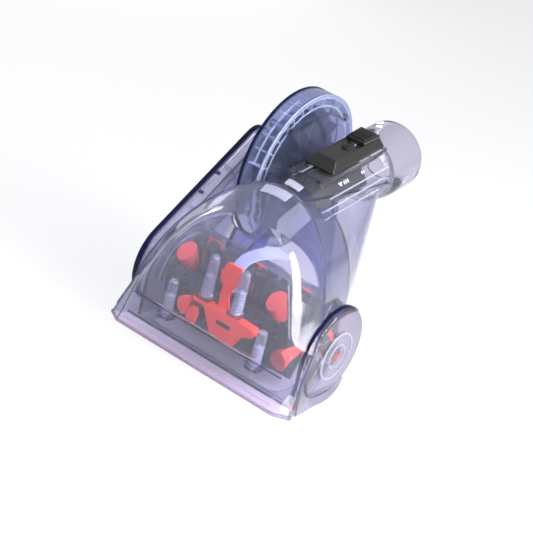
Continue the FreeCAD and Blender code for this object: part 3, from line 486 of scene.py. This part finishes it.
def arch(foot_half, half, spring, side_r, apex):
    """Places (x, s) from the left foot of an arch over its crown to the right foot."""
    rise = apex - spring
    crown_r = (half * half - 2 * half * side_r + rise * rise) / (2 * (rise - side_r))
    side_x = half - side_r
    crown_s = apex - crown_r
    turn = math.atan2(crown_s - spring, -side_x)
    right = []
    for s in SIDE_STEPS:
        if s < spring:
            right.append((foot_half + (half - foot_half) * s / spring, s))
        else:
            right.append((side_x + math.sqrt(side_r ** 2 - (s - spring) ** 2), s))
    first = math.asin((CROWN_FROM - spring) / side_r)
    side_length = side_r * (turn - first)
    whole = side_length + crown_r * (math.pi / 2 - turn)
    for step in range(CROWN_STEPS + 1):
        run = whole * step / CROWN_STEPS
        if run < side_length:
            angle = first + run / side_r
            right.append((side_x + side_r * math.cos(angle), spring + side_r * math.sin(angle)))
        else:
            angle = turn + (run - side_length) / crown_r
            right.append((crown_r * math.cos(angle), crown_s + crown_r * math.sin(angle)))
    left = [(-x, s) for x, s in right[:-1]]
    return left + right[::-1]


def leaning(foot_y, lean, x, s, out=0.0):
    """A place on a plane that leans about its foot: s runs up the plane and out stands off it."""
    angle = math.radians(lean)
    return at(x, foot_y + s * math.sin(angle) - out * math.cos(angle),
              s * math.cos(angle) + out * math.sin(angle))


RIDGE = arch(74.0, RIDGE_HALF, 16.0, 150.0, 123.2)
SEAM = arch(86.0, 81.0, 27.0, 140.0, 144.5)


def on_ridge(x, s, out=0.0):
    return leaning(RIDGE_FOOT_Y, RIDGE_LEAN, x, s, out)


def on_seam(x, s, out=0.0):
    return leaning(SEAM_FOOT_Y, SEAM_LEAN, x, s, out)


BULGE = 11.5
BULGE_TOP_S = 76.0
BULGE_FALL_X = 700.0
BULGE_FALL_S = 310.0
BULGE_EDGE = 9.0


def bulge(x, s, inset):
    """How far the window stands out of the ridge plane here, in millimetres."""
    barrel = BULGE - x * x / BULGE_FALL_X - (s - BULGE_TOP_S) ** 2 / BULGE_FALL_S
    near = max(0.0, 1.0 - inset / BULGE_EDGE)
    edge = math.sqrt(1.0 - near * near)
    step = min(1.0, max(0.0, (s - STEP_S + 0.3) / 0.8))
    return max(barrel, 0.0) * edge * step


def window_ring(inset):
    """The ridge's arch, drawn in towards the middle of the window and pushed out by its bulge."""
    share = inset / RIDGE_HALF
    ring = []
    for x, s in RIDGE:
        centre_s = min(s, CROWN_FROM)
        x_in = x * (1.0 - share)
        s_in = s + (centre_s - s) * share
        ring.append(on_ridge(x_in, s_in, bulge(x_in, s_in, inset)))
    return ring


def band_ring(share):
    """The arch at this share of the way from the seam to the ridge."""
    ring = []
    for (x0, s0), (x1, s1) in zip(SEAM, RIDGE):
        back = on_seam(x0, s0)
        front = on_ridge(x1, s1)
        ring.append(back.lerp(front, share))
    return ring


shape = bmesh.new()
hood_rings = [band_ring(share) for share in (0.0, 0.03, 0.3, 0.6, 0.82, 0.93)]
WINDOW_INSETS = (2.0, 5.0, 9.0, 15.0, 24.0, 36.0, 50.0, 63.0, RIDGE_HALF)
hood_rings += [window_ring(inset) for inset in WINDOW_INSETS]
loft_rings(shape, hood_rings, False)
bmesh.ops.remove_doubles(shape, verts=shape.verts, dist=0.3 * MM)
bmesh.ops.recalc_face_normals(shape, faces=shape.faces)
middle = sum((face.normal.y * face.calc_area() for face in shape.faces), 0.0)
if middle > 0:
    bmesh.ops.reverse_faces(shape, faces=shape.faces)
mesh = bpy.data.meshes.new("window_hood_moulded")
shape.to_mesh(mesh)
shape.free()
for polygon in mesh.polygons:
    polygon.use_smooth = True
hood = bpy.data.objects.new("window_hood_moulded", mesh)
bpy.context.scene.collection.objects.link(hood)
subdivide(hood)
thicken(hood, HOOD_WALL, -1.0)
finish(hood, HOOD_CLEAR, "shell", "window_hood")
print("hood cage faces:", len(mesh.polygons))

# %% [markdown]
# Along its foot the hood has a flat flange that makes the thick double line over the floor; its
# pinkish grey is painted red light from the brush. Two thin beads along the lip are pink, a painted
# reflection of the red brush, and the ledge under the window is blue, which is painted blue light.

# %% Hood flange, beads and ledge
shape = bmesh.new()
foot = [at(-85.5, 4.5, 0.2), at(-74.5, -2.6, 0.2), at(-60.0, -2.6, 0.2), at(0.0, -2.6, 0.2),
        at(60.0, -2.6, 0.2), at(74.5, -2.6, 0.2), at(85.5, 4.5, 0.2)]
strip(shape, foot, UPWARDS, 2.0, 2.4)
soften(new_piece("hood_flange", shape, FLANGE_PAINTED_RED_LIGHT, "shell"), 0.5)
# the beads' pink is a painted reflection of the red brush
shape = bmesh.new()
for bead_y, bead_z in ((-3.0, 2.5), (-0.66, 5.62)):
    bead = [at(x, bead_y, bead_z) for x in range(-70, 71, 10)]
    strip(shape, bead, UPWARDS, 0.6, 0.6)
new_piece("hood_edge_beads", shape, BEAD_PAINTED_RED_REFLECTION, "shell")
# the ledge's blue is painted blue light
shape = bmesh.new()
ledge = [on_ridge(x, STEP_S - 0.2, -0.4) for x in range(-70, 71, 10)]
strip(shape, ledge, Vector((0.0, -0.96, 0.29)), 1.0, 1.5)
soften(new_piece("hood_ledge", shape, LEDGE_PAINTED_BLUE_LIGHT, "shell"), 0.25)
print("flange, beads and ledge made")

# %% [markdown]
# The brush rolls under the window. Its red rubber paddles are the CAD solids, and between them
# stand rows of nylon tufts, so each strip of the CAD is replaced by short cones that spread outwards.

# %% Bristle tufts
BRUSH_R = 34.4
TUFT_ROWS = 5
TUFTS_IN_LANE = 26
TUFT_FIRST_X = -55.5
TUFT_PITCH = 4.4
TUFT_LENGTH = 24.0
TUFT_CENTRE_R = BRUSH_R - 15.0
ROW_START = 126.0
ROW_TURN = 72.0
LANE_TURN = 9.0
LANE_SHIFT = 1.5
TUFT_SWAY = 3.0
shape = bmesh.new()
tufts = 0
for row in range(TUFT_ROWS):
    for lane in (-1, 0, 1):
        for step in range(TUFTS_IN_LANE):
            x = TUFT_FIRST_X + TUFT_PITCH * step + LANE_SHIFT * lane
            sway = TUFT_SWAY * math.sin(2.1 * step)
            angle = math.radians(ROW_START + ROW_TURN * (row + 0.5) + LANE_TURN * lane + sway)
            out = Vector((0.06 * math.sin(1.7 * step + row), math.cos(angle), math.sin(angle))).normalized()
            made = bmesh.ops.create_cone(shape, segments=7, radius1=1.5 * MM, radius2=2.5 * MM,
                                         depth=TUFT_LENGTH * MM, cap_ends=True)
            turn = UPWARDS.rotation_difference(out).to_matrix().to_4x4()
            centre = BRUSH_AXIS + SIDE * (x * MM) + out * (TUFT_CENTRE_R * MM)
            bmesh.ops.transform(shape, verts=made["verts"], matrix=Matrix.Translation(centre) @ turn)
            tufts += 1
tuft_piece = new_piece("bristle_tufts", shape, BLACK_NYLON, "brush", smooth=60.0)
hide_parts("bristle_strips")
print("tufts:", tufts)

# %% [markdown]
# A dark disc closes the left end of the brush, and pale rings on the chamber's left wall round it are
# painted highlights, for the arcs where that wall catches the light.

# %% Brush end disc and chamber rings
DISC_X = -57.5
CHAMBER_RING_X = -62.5
shape = bmesh.new()
outline = [(0.0, 10.2), (0.0, 25.0), (1.2, 27.0), (2.4, 27.0), (2.4, 21.0), (1.4, 20.0), (1.4, 14.0),
           (2.6, 13.0), (2.6, 10.2)]
turned(shape, outline, BRUSH_AXIS + SIDE * (DISC_X * MM), -SIDE, 48)
soften(new_piece("brush_end_discs", shape, BLACK_NYLON, "brush"), 0.3)
# pale arcs on the chamber's left wall are painted highlights
shape = bmesh.new()
for radius in (24.5, 30.5):
    arc_strip(shape, BRUSH_AXIS, radius, CHAMBER_RING_X, 60.0, 200.0, 1.0, 0.9)
soften(new_piece("chamber_rings_painted_highlight", shape, RIB_PALE, "shell"), 0.25)
print("end disc and chamber rings made")

# %% [markdown]
# In front of the brush stand four clear screw posts with rounded tips. They taper from the foot, a
# screw stands in the lower half of each, and its thread shines through the post.

# %% Screw posts and screws
# x, y and z of each foot, and the post's height
POST_PLACES = [(-14.1, 15.5, 48.0, 33.0), (14.1, 15.5, 48.0, 33.0),
               (-41.7, 12.5, 18.7, 29.5), (41.7, 12.5, 18.7, 29.5)]
THREAD_TURNS = 8
THREAD_PITCH = 2.0
THREAD_ROOT_R = 2.0
THREAD_CREST_R = 3.0
posts = bmesh.new()
threads = bmesh.new()
for x, y, z, height in POST_PLACES:
    foot = at(x, y, z)
    outline = [(0.0, 0.0), (0.0, 5.0), (1.2, 5.0), (1.6, 4.75), (height - 4.0, 3.7), (height - 1.5, 3.3),
               (height - 0.3, 2.2), (height + 0.2, 0.9), (height + 0.3, 0.0)]
    turned(posts, outline, foot, UPWARDS, 24)
    ridges = [(-2.0, 0.0), (-2.0, THREAD_ROOT_R)]
    for ridge in range(THREAD_TURNS):
        rise = THREAD_PITCH * ridge
        ridges += [(1.0 + rise, THREAD_ROOT_R), (2.0 + rise, THREAD_CREST_R)]
    ridges += [(17.4, 1.6), (19.0, 0.0)]
    turned(threads, ridges, foot, UPWARDS, 20)
new_piece("screw_posts", posts, PEG_CLEAR, "shell", smooth=50.0)
new_piece("screw_threads", threads, BRIGHT_ZINC, "shell", smooth=30.0)
# the ledges under the outer posts carry the same painted blue light
shape = bmesh.new()
for x, y, z, height in POST_PLACES[2:]:
    slab(shape, [at(x + dx, y + dy, z) for dx, dy in ((-7.5, -3.0), (7.5, -3.0), (7.5, 7.5), (-7.5, 7.5))],
         UPWARDS * (1.6 * MM))
soften(new_piece("post_ledges", shape, LEDGE_PAINTED_BLUE_LIGHT, "shell"), 0.6)
print("screw posts:", len(POST_PLACES))

# %% [markdown]
# A red stalk climbs behind the middle posts to a broad pad, two red lobes stand beside the bracket,
# and a dark plate in the bracket's slot is painted shade. A pale collar curves over the chamber's roof to
# the duct.

# %% Bracket stalk, duct ring and lobes
STALK_Y = 17.0
LOBE_Y = 10.4
PLATE_DEPTH = Vector((0.0, 2.4 * MM, 0.0))
shape = bmesh.new()
stalk = [(-3.0, 44.5), (7.0, 44.5), (4.0, 54.0), (4.5, 61.0), (11.0, 66.0), (9.0, 80.0),
         (-4.0, 80.0), (-8.5, 70.0), (-4.0, 62.0), (-4.5, 54.0)]
slab(shape, [at(x, STALK_Y, z) for x, z in stalk], PLATE_DEPTH)
soften(new_piece("bracket_stalk", shape, RED_ABS, "shell"), 0.9, 3)
shape = bmesh.new()
outer = [at(-3.5, 20.4, 54.5), at(-7.4, 25.2, 61.3), at(-11.1, 32.4, 67.7), at(-12.6, 39.0, 71.6),
         at(-13.6, 47.5, 74.4), at(-13.0, 58.0, 76.0), at(-7.5, 68.0, 79.5), at(4.4, 75.0, 83.8)]
inner = [at(7.3, 21.5, 56.4), at(3.8, 26.9, 63.2), at(1.0, 32.5, 67.8), at(-0.8, 38.8, 71.3),
         at(-0.7, 47.0, 74.0), at(2.0, 57.5, 74.6), at(8.0, 67.0, 75.6), at(20.4, 75.0, 78.1)]
loft_rings(shape, [outer, inner], False)
collar = new_piece("duct_ring", shape, PALE_RING, "shell", smooth=60.0)
thicken(collar, 1.6, 0.0)
subdivide(collar)
shape = bmesh.new()
high_lobe = [(-34.5, 36.8), (-29.7, 41.4), (-23.6, 43.7), (-22.9, 38.6), (-24.9, 29.0), (-27.8, 25.4),
             (-33.1, 30.3)]
low_lobe = [(-24.3, 32.6), (-20.3, 37.4), (-15.1, 38.3), (-13.5, 32.8), (-15.1, 24.6), (-19.0, 21.5),
            (-23.6, 24.4)]
for lobe in (high_lobe, low_lobe):
    slab(shape, [at(x, LOBE_Y, z) for x, z in lobe], PLATE_DEPTH)
soften(new_piece("bracket_lobes", shape, RED_ABS, "shell"), 1.6, 4, degrees=20.0)
# a dark plate in the bracket's slot is painted shade where the slot looks dark
shape = bmesh.new()
slab(shape, [at(x, 10.9, z) for x, z in ((2.8, 34.6), (9.0, 34.0), (15.4, 35.2), (15.4, 37.6), (2.8, 37.4))],
     Vector((0.0, 0.8 * MM, 0.0)))
soften(new_piece("bracket_slot_painted_shade", shape, DARK_CORE, "shell"), 0.2)
print("stalk, duct ring and lobes made")

# %% [markdown]
# Behind the collar a thin liner leads the air from the brush chamber up into the tube. It narrows from
# the chamber's arch to the round tube, so it is lofted through three outlines. Its deep blue is partly
# the liner's tint and partly painted shade in the neck under the hood's crown.

# %% Duct liner
LINER_STEPS = 24
LINER_FROM = -8.0
LINER_SWEEP = 196.0
shape = bmesh.new()
mouth = []
middle = []
throat = []
for step in range(LINER_STEPS + 1):
    turn = math.radians(LINER_FROM + LINER_SWEEP * step / LINER_STEPS)
    mouth.append(at(36.5 * math.cos(turn), 93.0, 48.0 + 33.5 * math.sin(turn)))
    middle.append(at(29.0 * math.cos(turn), 106.0, 66.0 + 36.0 * math.sin(turn)))
    throat.append(on_tube(124.0, TUBE_AXIS_V + 20.6 * math.sin(turn), 20.4 * math.cos(turn)))
loft_rings(shape, [mouth, middle, throat], False)
bmesh.ops.subdivide_edges(shape, edges=shape.edges, cuts=1, smooth=0.4, use_grid_fill=True)
liner = new_piece("duct_liner", shape, DUCT_BLUE_AND_PAINTED_SHADE, "shell", smooth=60.0)
thicken(liner, 0.9, -1.0)
print("duct liner made")

# %% [markdown]
# The switch slides in a saddle on top of the tube. It is a wedge with a sloping nose, a sunk field
# for its screw and a raised thumb rest with ribs, moulded in charcoal ABS.

# %% Slide switch
SWITCH_FOOT_V = 121.6
SWITCH_SIDE_V = 123.6
SWITCH_TOP_V = 129.6
SWITCH_FIELD_V = 128.4
THUMB_RIB_V = 128.6
THUMB_RIBS = 6
shape = bmesh.new()
base = [(-13.0, 123.0), (13.0, 123.0), (13.0, 193.0), (-13.0, 193.0)]
top = [(-8.6, 131.5), (8.6, 131.5), (9.6, 190.5), (-9.6, 190.5)]
bottom_ring = [on_tube(u, SWITCH_FOOT_V, x) for x, u in base]
middle_ring = [on_tube(u, SWITCH_SIDE_V, x) for x, u in base]
top_ring = [on_tube(u, SWITCH_TOP_V, x) for x, u in top]
rows = loft_rings(shape, [bottom_ring, middle_ring, top_ring], True)
bmesh.ops.edgenet_fill(shape, edges=rows[0])
made = bmesh.ops.edgenet_fill(shape, edges=rows[-1])
lid = made["faces"]
bmesh.ops.recalc_face_normals(shape, faces=shape.faces)
bmesh.ops.inset_region(shape, faces=lid, thickness=1.5 * MM, depth=0.0)
bmesh.ops.inset_region(shape, faces=lid, thickness=0.5 * MM, depth=-1.1 * MM)
switch = new_piece("slide_switch_moulded", shape, BLACK_ABS, "switch", smooth=30.0)
soften(switch, 0.6, 3, 25.0)
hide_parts("slide_switch")

shape = bmesh.new()
for index in range(THUMB_RIBS):
    u = 172.5 + 3.1 * index
    ridge = [on_tube(u, THUMB_RIB_V, -7.2), on_tube(u, THUMB_RIB_V, 7.2)]
    strip(shape, ridge, ACROSS, 1.5, 4.6 - 0.15 * index)
soften(new_piece("thumb_ribs", shape, BLACK_ABS, "switch"), 0.45)
shape = bmesh.new()
rest = [(-8.4, 169.4), (8.4, 169.4), (9.2, 190.8), (-9.2, 190.8)]
slab(shape, [on_tube(u, SWITCH_FIELD_V, x) for x, u in rest], ACROSS * (3.6 * MM))
soften(new_piece("thumb_rest", shape, BLACK_ABS, "switch"), 0.8, 3)
shape = bmesh.new()
screw_ring = [(0.0, 0.0), (0.0, 3.4), (0.9, 3.4), (1.3, 2.9), (1.3, 0.0)]
turned(shape, screw_ring, on_tube(157.0, SWITCH_FIELD_V), ACROSS, 32)
soften(new_piece("switch_screw_ring", shape, BLACK_SLEEVE, "switch"), 0.2)
print("switch made")

# %% [markdown]
# The turbine drum shows its own construction through its rim: a dark outer edge, a lighter inner
# wall and short ribs that divide the rim into boxes. They are strips along circles round the drum, and
# the ribs that face the camera are deeper.

# %% Drum edge, walls and ribs
DRUM_RIB_X = -34.6
DEEP_RIB = 12.0
SHALLOW_RIB = 5.0
# each strip is given by its radius, x, first and last degree, width and height
shape = bmesh.new()
arc_strip(shape, TURBINE_AXIS, 63.4, -49.0, 10.0, 250.0, 2.4, 2.1)
soften(new_piece("drum_edge", shape, NAVY_EDGE, "shell"), 0.4)
shape = bmesh.new()
for wall in ((61.6, -33.4, 10.0, 250.0, 1.2, 3.4), (55.2, -33.6, 20.0, 240.0, 1.4, 1.4),
             (60.6, -42.0, 110.0, 168.0, 1.0, 1.8)):
    arc_strip(shape, TURBINE_AXIS, *wall)
for degrees in (36.0, 62.0, 88.0, 104.0, 115.0, 126.0, 136.0, 146.0, 157.0, 168.0, 196.0, 222.0):
    inner = circle_place(TURBINE_AXIS, 55.6, degrees, DRUM_RIB_X)
    outer = circle_place(TURBINE_AXIS, 62.6, degrees, DRUM_RIB_X)
    strip(shape, [inner, outer], -SIDE, 1.4, DEEP_RIB if 100 < degrees < 172 else SHALLOW_RIB)
soften(new_piece("drum_ribs", shape, RIB_PALE, "shell"), 0.3)
print("drum edge and ribs made")

# %% [markdown]
# The belt case is a deep tray with a lid. The lid has a dark edge, two ribs across, two clips at the
# front and a round boss on each axis.

# %% Belt case edge, ribs, clips and boss
GAP = TURBINE_AXIS - BRUSH_AXIS
TURN = math.degrees(math.atan2(GAP.z, GAP.y))
BIG_END_R = 35.0
SMALL_END_R = 17.6
OPEN = math.degrees(math.acos((BIG_END_R - SMALL_END_R) * MM / GAP.length))
LID_FACE_X = -85.9
LID_BACK_X = -82.6
LID_EDGE_OUT = -1.0
LID_EDGE_IN = 1.4
CASE_RIB_X = -82.9


def belt_outline(inset_mm, x_mm):
    """The lid's outline: a big round end, a straight, a small round end and a straight."""
    small = [circle_place(TURBINE_AXIS, SMALL_END_R - inset_mm, TURN + OPEN - 2 * OPEN * k / 12, x_mm)
             for k in range(13)]
    big = [circle_place(BRUSH_AXIS, BIG_END_R - inset_mm, TURN - OPEN - (360 - 2 * OPEN) * k / 28, x_mm)
           for k in range(29)]
    return small + big


shape = bmesh.new()
outer = belt_outline(LID_EDGE_OUT, LID_FACE_X)
inner = belt_outline(LID_EDGE_IN, LID_FACE_X)
outer_back = belt_outline(LID_EDGE_OUT, LID_BACK_X)
inner_back = belt_outline(LID_EDGE_IN, LID_BACK_X)
# the edge stops where the big end would reach the floor, so the run starts behind that gap
low = [k for k, place in enumerate(outer) if place.z <= 0.5 * MM]
run = list(range(low[-1] + 1, len(outer))) + list(range(low[0]))
loft_rings(shape, [[outer[k], inner[k], inner_back[k], outer_back[k]] for k in run], True)
open_edges = [edge for edge in shape.edges if edge.is_boundary]
bmesh.ops.edgenet_fill(shape, edges=open_edges)
new_piece("belt_lid_edge", shape, NAVY_EDGE, "shell")
print("lid edge steps:", len(run))

shape = bmesh.new()
across = Vector((0.0, -GAP.z, GAP.y)).normalized()
for share, low, high in ((0.34, -24.0, 24.0), (0.72, -19.0, 19.0)):
    centre = BRUSH_AXIS + GAP * share + SIDE * (CASE_RIB_X * MM)
    strip(shape, [centre + across * (low * MM), centre + across * (high * MM)], SIDE, 1.2, 7.0)
for axis, hole, rim, high in ((TURBINE_AXIS, 3.6, 6.0, 7.5), (BRUSH_AXIS, 8.6, 10.0, 3.0)):
    boss = [(0.0, hole), (0.0, rim), (high, rim), (high, hole)]
    turned(shape, boss, axis + SIDE * (CASE_RIB_X * MM), SIDE, 32)
soften(new_piece("belt_case_ribs", shape, RIB_PALE, "shell"), 0.3)
shape = bmesh.new()
for share in (0.44, 0.62):
    foot = BRUSH_AXIS + GAP * share + across * (27.5 * MM - share * 8.0 * MM) + SIDE * (-80.0 * MM)
    strip(shape, [foot, foot + GAP.normalized() * (3.0 * MM)], across, 5.0, 1.2)
soften(new_piece("belt_case_clips", shape, NAVY_EDGE, "shell"), 0.5)
print("belt case details made")

# %% [markdown]
# The right end cap carries raised rings round the brush's bearing, and where it meets the hood a dark
# seam shows. Below it a smoky skirt spreads to the foot, and the hood's own back edge is a thin line.

# %% Cap rings, skirt and seams
CAP_FACE_X = 81.3
CAP_SEAM_X = 74.8
CAP_SEAM_R = 37.0
SKIRT_STEPS = 16
SKIRT_TOP_R = 36.6
SKIRT_TOP_X = 78.5
SKIRT_FROM = 196.0
SKIRT_TURN = 7.2
shape = bmesh.new()
for radius, thick in ((18.4, 0.9), (9.5, 0.8)):
    turned(shape, [(0.0, radius - thick), (0.0, radius + thick), (0.9, radius + thick * 0.6),
                   (0.9, radius - thick * 0.6)], BRUSH_AXIS + SIDE * (CAP_FACE_X * MM), SIDE, 48)
new_piece("cap_rings", shape, RIB_PALE, "shell", smooth=50.0)
shape = bmesh.new()
arc_strip(shape, BRUSH_AXIS, CAP_SEAM_R, CAP_SEAM_X, 50.0, 203.0, 3.2, 0.8)
tail = [at(CAP_SEAM_X, y, z) for y, z in ((20.6, 20.8), (19.6, 12.0), (19.4, 1.0))]
strip(shape, tail, Vector((0.0, -1.0, 0.0)), 3.2, 0.8)
soften(new_piece("cap_seam", shape, NAVY_EDGE, "shell"), 0.3)
shape = bmesh.new()
upper = []
lower = []
for step in range(SKIRT_STEPS + 1):
    upper.append(circle_place(BRUSH_AXIS, SKIRT_TOP_R, SKIRT_FROM + SKIRT_TURN * step, SKIRT_TOP_X))
    x = 85.2 - 5.4 * (max(step - 8, 0) / 8) ** 2
    z = 0.7 + 0.13 * max(step - 9, 0) ** 2
    lower.append(at(x, 11.0 + 4.4 * step, z))
for place in upper:
    place.z = max(place.z, 1.2 * MM)
loft_rings(shape, [upper, lower], False)
skirt = new_piece("cap_skirt", shape, SKIRT_CLEAR, "shell", smooth=60.0)
thicken(skirt, 1.2, 0.0)

# the seam line's blue is painted blue light
seam_line = [on_seam(x, s, -0.4) for x, s in SEAM if s > 2.0]
shape = bmesh.new()
strip(shape, seam_line, Vector((0.0, -0.92, 0.39)), 0.9, 1.1)
new_piece("hood_seam", shape, LEDGE_PAINTED_BLUE_LIGHT, "shell")
print("cap rings, skirt and seams made")

# %% [markdown]
# Two shallow pads on the hood's crown are its release tabs.

# %% Release tabs


def band_place(share, along, lift_mm):
    """A place on the hood's band: share runs from the seam to the ridge, along over the crown."""
    ring = band_ring(share)
    index = along * (len(ring) - 1)
    low = int(index)
    place = ring[low].lerp(ring[low + 1], index - low)
    return place + Vector((0.12, -0.25, 0.96)) * (lift_mm * MM)


shape = bmesh.new()
for first, last, low, high in ((0.466, 0.520, 0.10, 0.36), (0.492, 0.522, -0.26, -0.08)):
    rings = []
    for share in (low, (low + high) / 2, high):
        rings.append([band_place(share, first + (last - first) * k / 4, 0.9) for k in range(5)])
    loft_rings(shape, rings, False)
tabs = new_piece("release_tabs", shape, TAB_PALE, "shell", smooth=60.0)
thicken(tabs, 1.2, -1.0)
soften(tabs, 0.4)
print("release tabs made")

# %% [markdown]
# Low ribs run along the right side of the tube. They stiffen the moulding and show as pale lines.

# %% Tube ribs
TUBE_RIB_R = 23.8
shape = bmesh.new()
for degrees, first, last in ((14.0, 98.0, 186.0), (-4.0, 104.0, 178.0), (30.0, 112.0, 192.0)):
    angle = math.radians(degrees)
    out = SIDE * math.cos(angle) + ACROSS * math.sin(angle)
    x = TUBE_RIB_R * math.cos(angle)
    v = TUBE_AXIS_V + TUBE_RIB_R * math.sin(angle)
    line = [on_tube(first + (last - first) * k / 6, v, x) for k in range(7)]
    strip(shape, line, out, 1.3, 0.8)
soften(new_piece("tube_ribs", shape, RIB_PALE, "shell"), 0.25)
print("tube ribs made")

# %% [markdown]
# Beside the switch the tube carries small white marks: a plain arrow with three bars, and two bars
# further along the tube.

# %% Marks beside the switch
MARK_R = 24.25


def tube_mark(shape, outline):
    """A printed outline (x, u) wrapped onto the tube, a tenth of a millimetre thick."""
    places = []
    for x, u in outline:
        v = math.sqrt(MARK_R ** 2 - x * x)
        places.append(on_tube(u, TUBE_AXIS_V + v, x))
    slab(shape, places, ACROSS * (0.08 * MM))


shape = bmesh.new()
tube_mark(shape, [(16.4, 127.5), (18.6, 130.0), (16.4, 132.5)])
for low, high in ((134.0, 135.2), (136.4, 137.6), (138.8, 140.0)):
    tube_mark(shape, [(16.4, low), (18.4, low), (18.4, high), (16.4, high)])
for low, high in ((158.0, 159.2), (160.4, 161.6)):
    tube_mark(shape, [(16.6, low), (18.2, low), (18.2, high), (16.6, high)])
new_piece("switch_marks", shape, PRINT_WHITE, "shell")
print("marks made")

# %% [markdown]
# The photograph was lit by soft boxes on a white table. A chain of three lamps on the right gives the
# bright band down the hood, and the lamps on top and on the left light the tool but aren't mirrored.
# The floor is bright where the camera sees it, and seen through plastic it is dimmer and a little lilac,
# as painted shade under the tool.

# %% Floor, world and lamps
FLOOR_SEEN = 0.72
FLOOR_THROUGH_PAINTED_SHADE = 0.12
LAMP_DISTANCE = 1.1
floor_data = bpy.data.meshes.new("floor")
shape = bmesh.new()
bmesh.ops.create_grid(shape, x_segments=1, y_segments=1, size=6.0)
shape.to_mesh(floor_data)
shape.free()
floor = bpy.data.objects.new("floor", floor_data)
bpy.context.scene.collection.objects.link(floor)
floor.location.z = -0.0004
FLOOR_PAPER, tree = new_material("white paper floor, painted shade through plastic")
ray = add(tree, "ShaderNodeLightPath")
seen = add(tree, "ShaderNodeMath", {"operation": "MULTIPLY"}, i0=ray.outputs["Is Camera Ray"],
           i1=FLOOR_SEEN)
# seen through plastic the floor glows less and its paper turns darker lilac: painted shade under the tool
through = add(tree, "ShaderNodeMath", {"operation": "MULTIPLY"}, i0=ray.outputs["Is Transmission Ray"],
              i1=FLOOR_THROUGH_PAINTED_SHADE)
shown = add(tree, "ShaderNodeMath", {"operation": "MAXIMUM"}, i0=seen.outputs[0], i1=through.outputs[0])
paper_and_painted_shade = add(tree, "ShaderNodeMix", {"data_type": "RGBA"}, Factor=ray.outputs["Is Transmission Ray"],
                   i6=linear("E6E6E8"), i7=linear("CCC2D2"))
paper = add(tree, "ShaderNodeBsdfDiffuse", Color=paper_and_painted_shade.outputs[2])
glow = add(tree, "ShaderNodeEmission", Color=(1.0, 1.0, 1.0, 1.0), Strength=1.0)
both = add(tree, "ShaderNodeMixShader", Fac=shown.outputs[0], i1=paper.outputs[0], i2=glow.outputs[0])
add(tree, "ShaderNodeOutputMaterial", Surface=both.outputs[0])
floor_data.materials.append(FLOOR_PAPER)

world = bpy.data.worlds.new("studio")
bpy.context.scene.world = world
world.use_nodes = True
tree = world.node_tree
tree.nodes.clear()
ray = add(tree, "ShaderNodeLightPath")
seen = add(tree, "ShaderNodeMath", {"operation": "MAXIMUM"}, i0=ray.outputs["Is Camera Ray"],
           i1=ray.outputs["Is Transmission Ray"])
room = add(tree, "ShaderNodeBackground", Color=linear("DCDFE6"), Strength=0.55)
paper = add(tree, "ShaderNodeBackground", Color=(1.0, 1.0, 1.0, 1.0), Strength=1.0)
both = add(tree, "ShaderNodeMixShader", Fac=seen.outputs[0], i1=room.outputs[0], i2=paper.outputs[0])
add(tree, "ShaderNodeOutputWorld", Surface=both.outputs[0])


def soft_box(name, place, target, width, height, power):
    data = bpy.data.lights.new(name, "AREA")
    data.shape = "RECTANGLE"
    data.size = width
    data.size_y = height
    data.energy = power
    lamp = bpy.data.objects.new(name, data)
    bpy.context.scene.collection.objects.link(lamp)
    aim = (target - place).to_track_quat("-Z", "Y")
    lamp.matrix_world = Matrix.Translation(place) @ aim.to_matrix().to_4x4()
    return lamp


def soft_strip(name, place, target, along, width, length, power):
    """A long lamp whose length lies along a direction, for a streak on the curved hood."""
    lamp = soft_box(name, place, target, width, length, power)
    back = (place - target).normalized()
    long_way = (along - back * along.dot(back)).normalized()
    turn = Matrix((long_way.cross(back), long_way, back)).transposed()
    lamp.matrix_world = Matrix.Translation(place) @ turn.to_4x4()
    return lamp


MIDDLE = at(0.0, 80.0, 70.0)
soft_box("key_box", Vector((0.95, -0.80, 0.55)), MIDDLE, 0.30, 0.7, 4.6)
HOOD_PLACE = at(50.0, 25.0, 90.0)
# direction from the hood, length, width and power of each lamp, and where the chain runs on to
RIDGE_LAMPS = [((0.62, 0.33, 0.71), 0.50, 0.18, 5.0), ((0.84, 0.25, 0.48), 0.50, 0.32, 7.0),
               ((0.97, 0.02, 0.22), 0.45, 0.44, 7.5)]
CHAIN = [lamp[0] for lamp in RIDGE_LAMPS] + [(0.95, -0.2, -0.1)]
for index, (way, length, width, power) in enumerate(RIDGE_LAMPS):
    place = HOOD_PLACE + Vector(way).normalized() * LAMP_DISTANCE
    along = Vector(CHAIN[index + 1]) - Vector(way)
    soft_strip("ridge_box_%d" % index, place, HOOD_PLACE, along, width, length, power)
soft_box("top_box", Vector((0.05, 0.05, 1.4)), MIDDLE, 0.45, 0.45, 5.5).visible_glossy = False
soft_box("left_box", Vector((-1.1, -0.5, 0.6)), MIDDLE, 0.35, 0.9, 4.6).visible_glossy = False
soft_box("back_left_box", Vector((-1.05, 0.85, 0.25)), MIDDLE, 0.5, 0.35, 3.0).visible_glossy = False

# %% End
print("scene built")
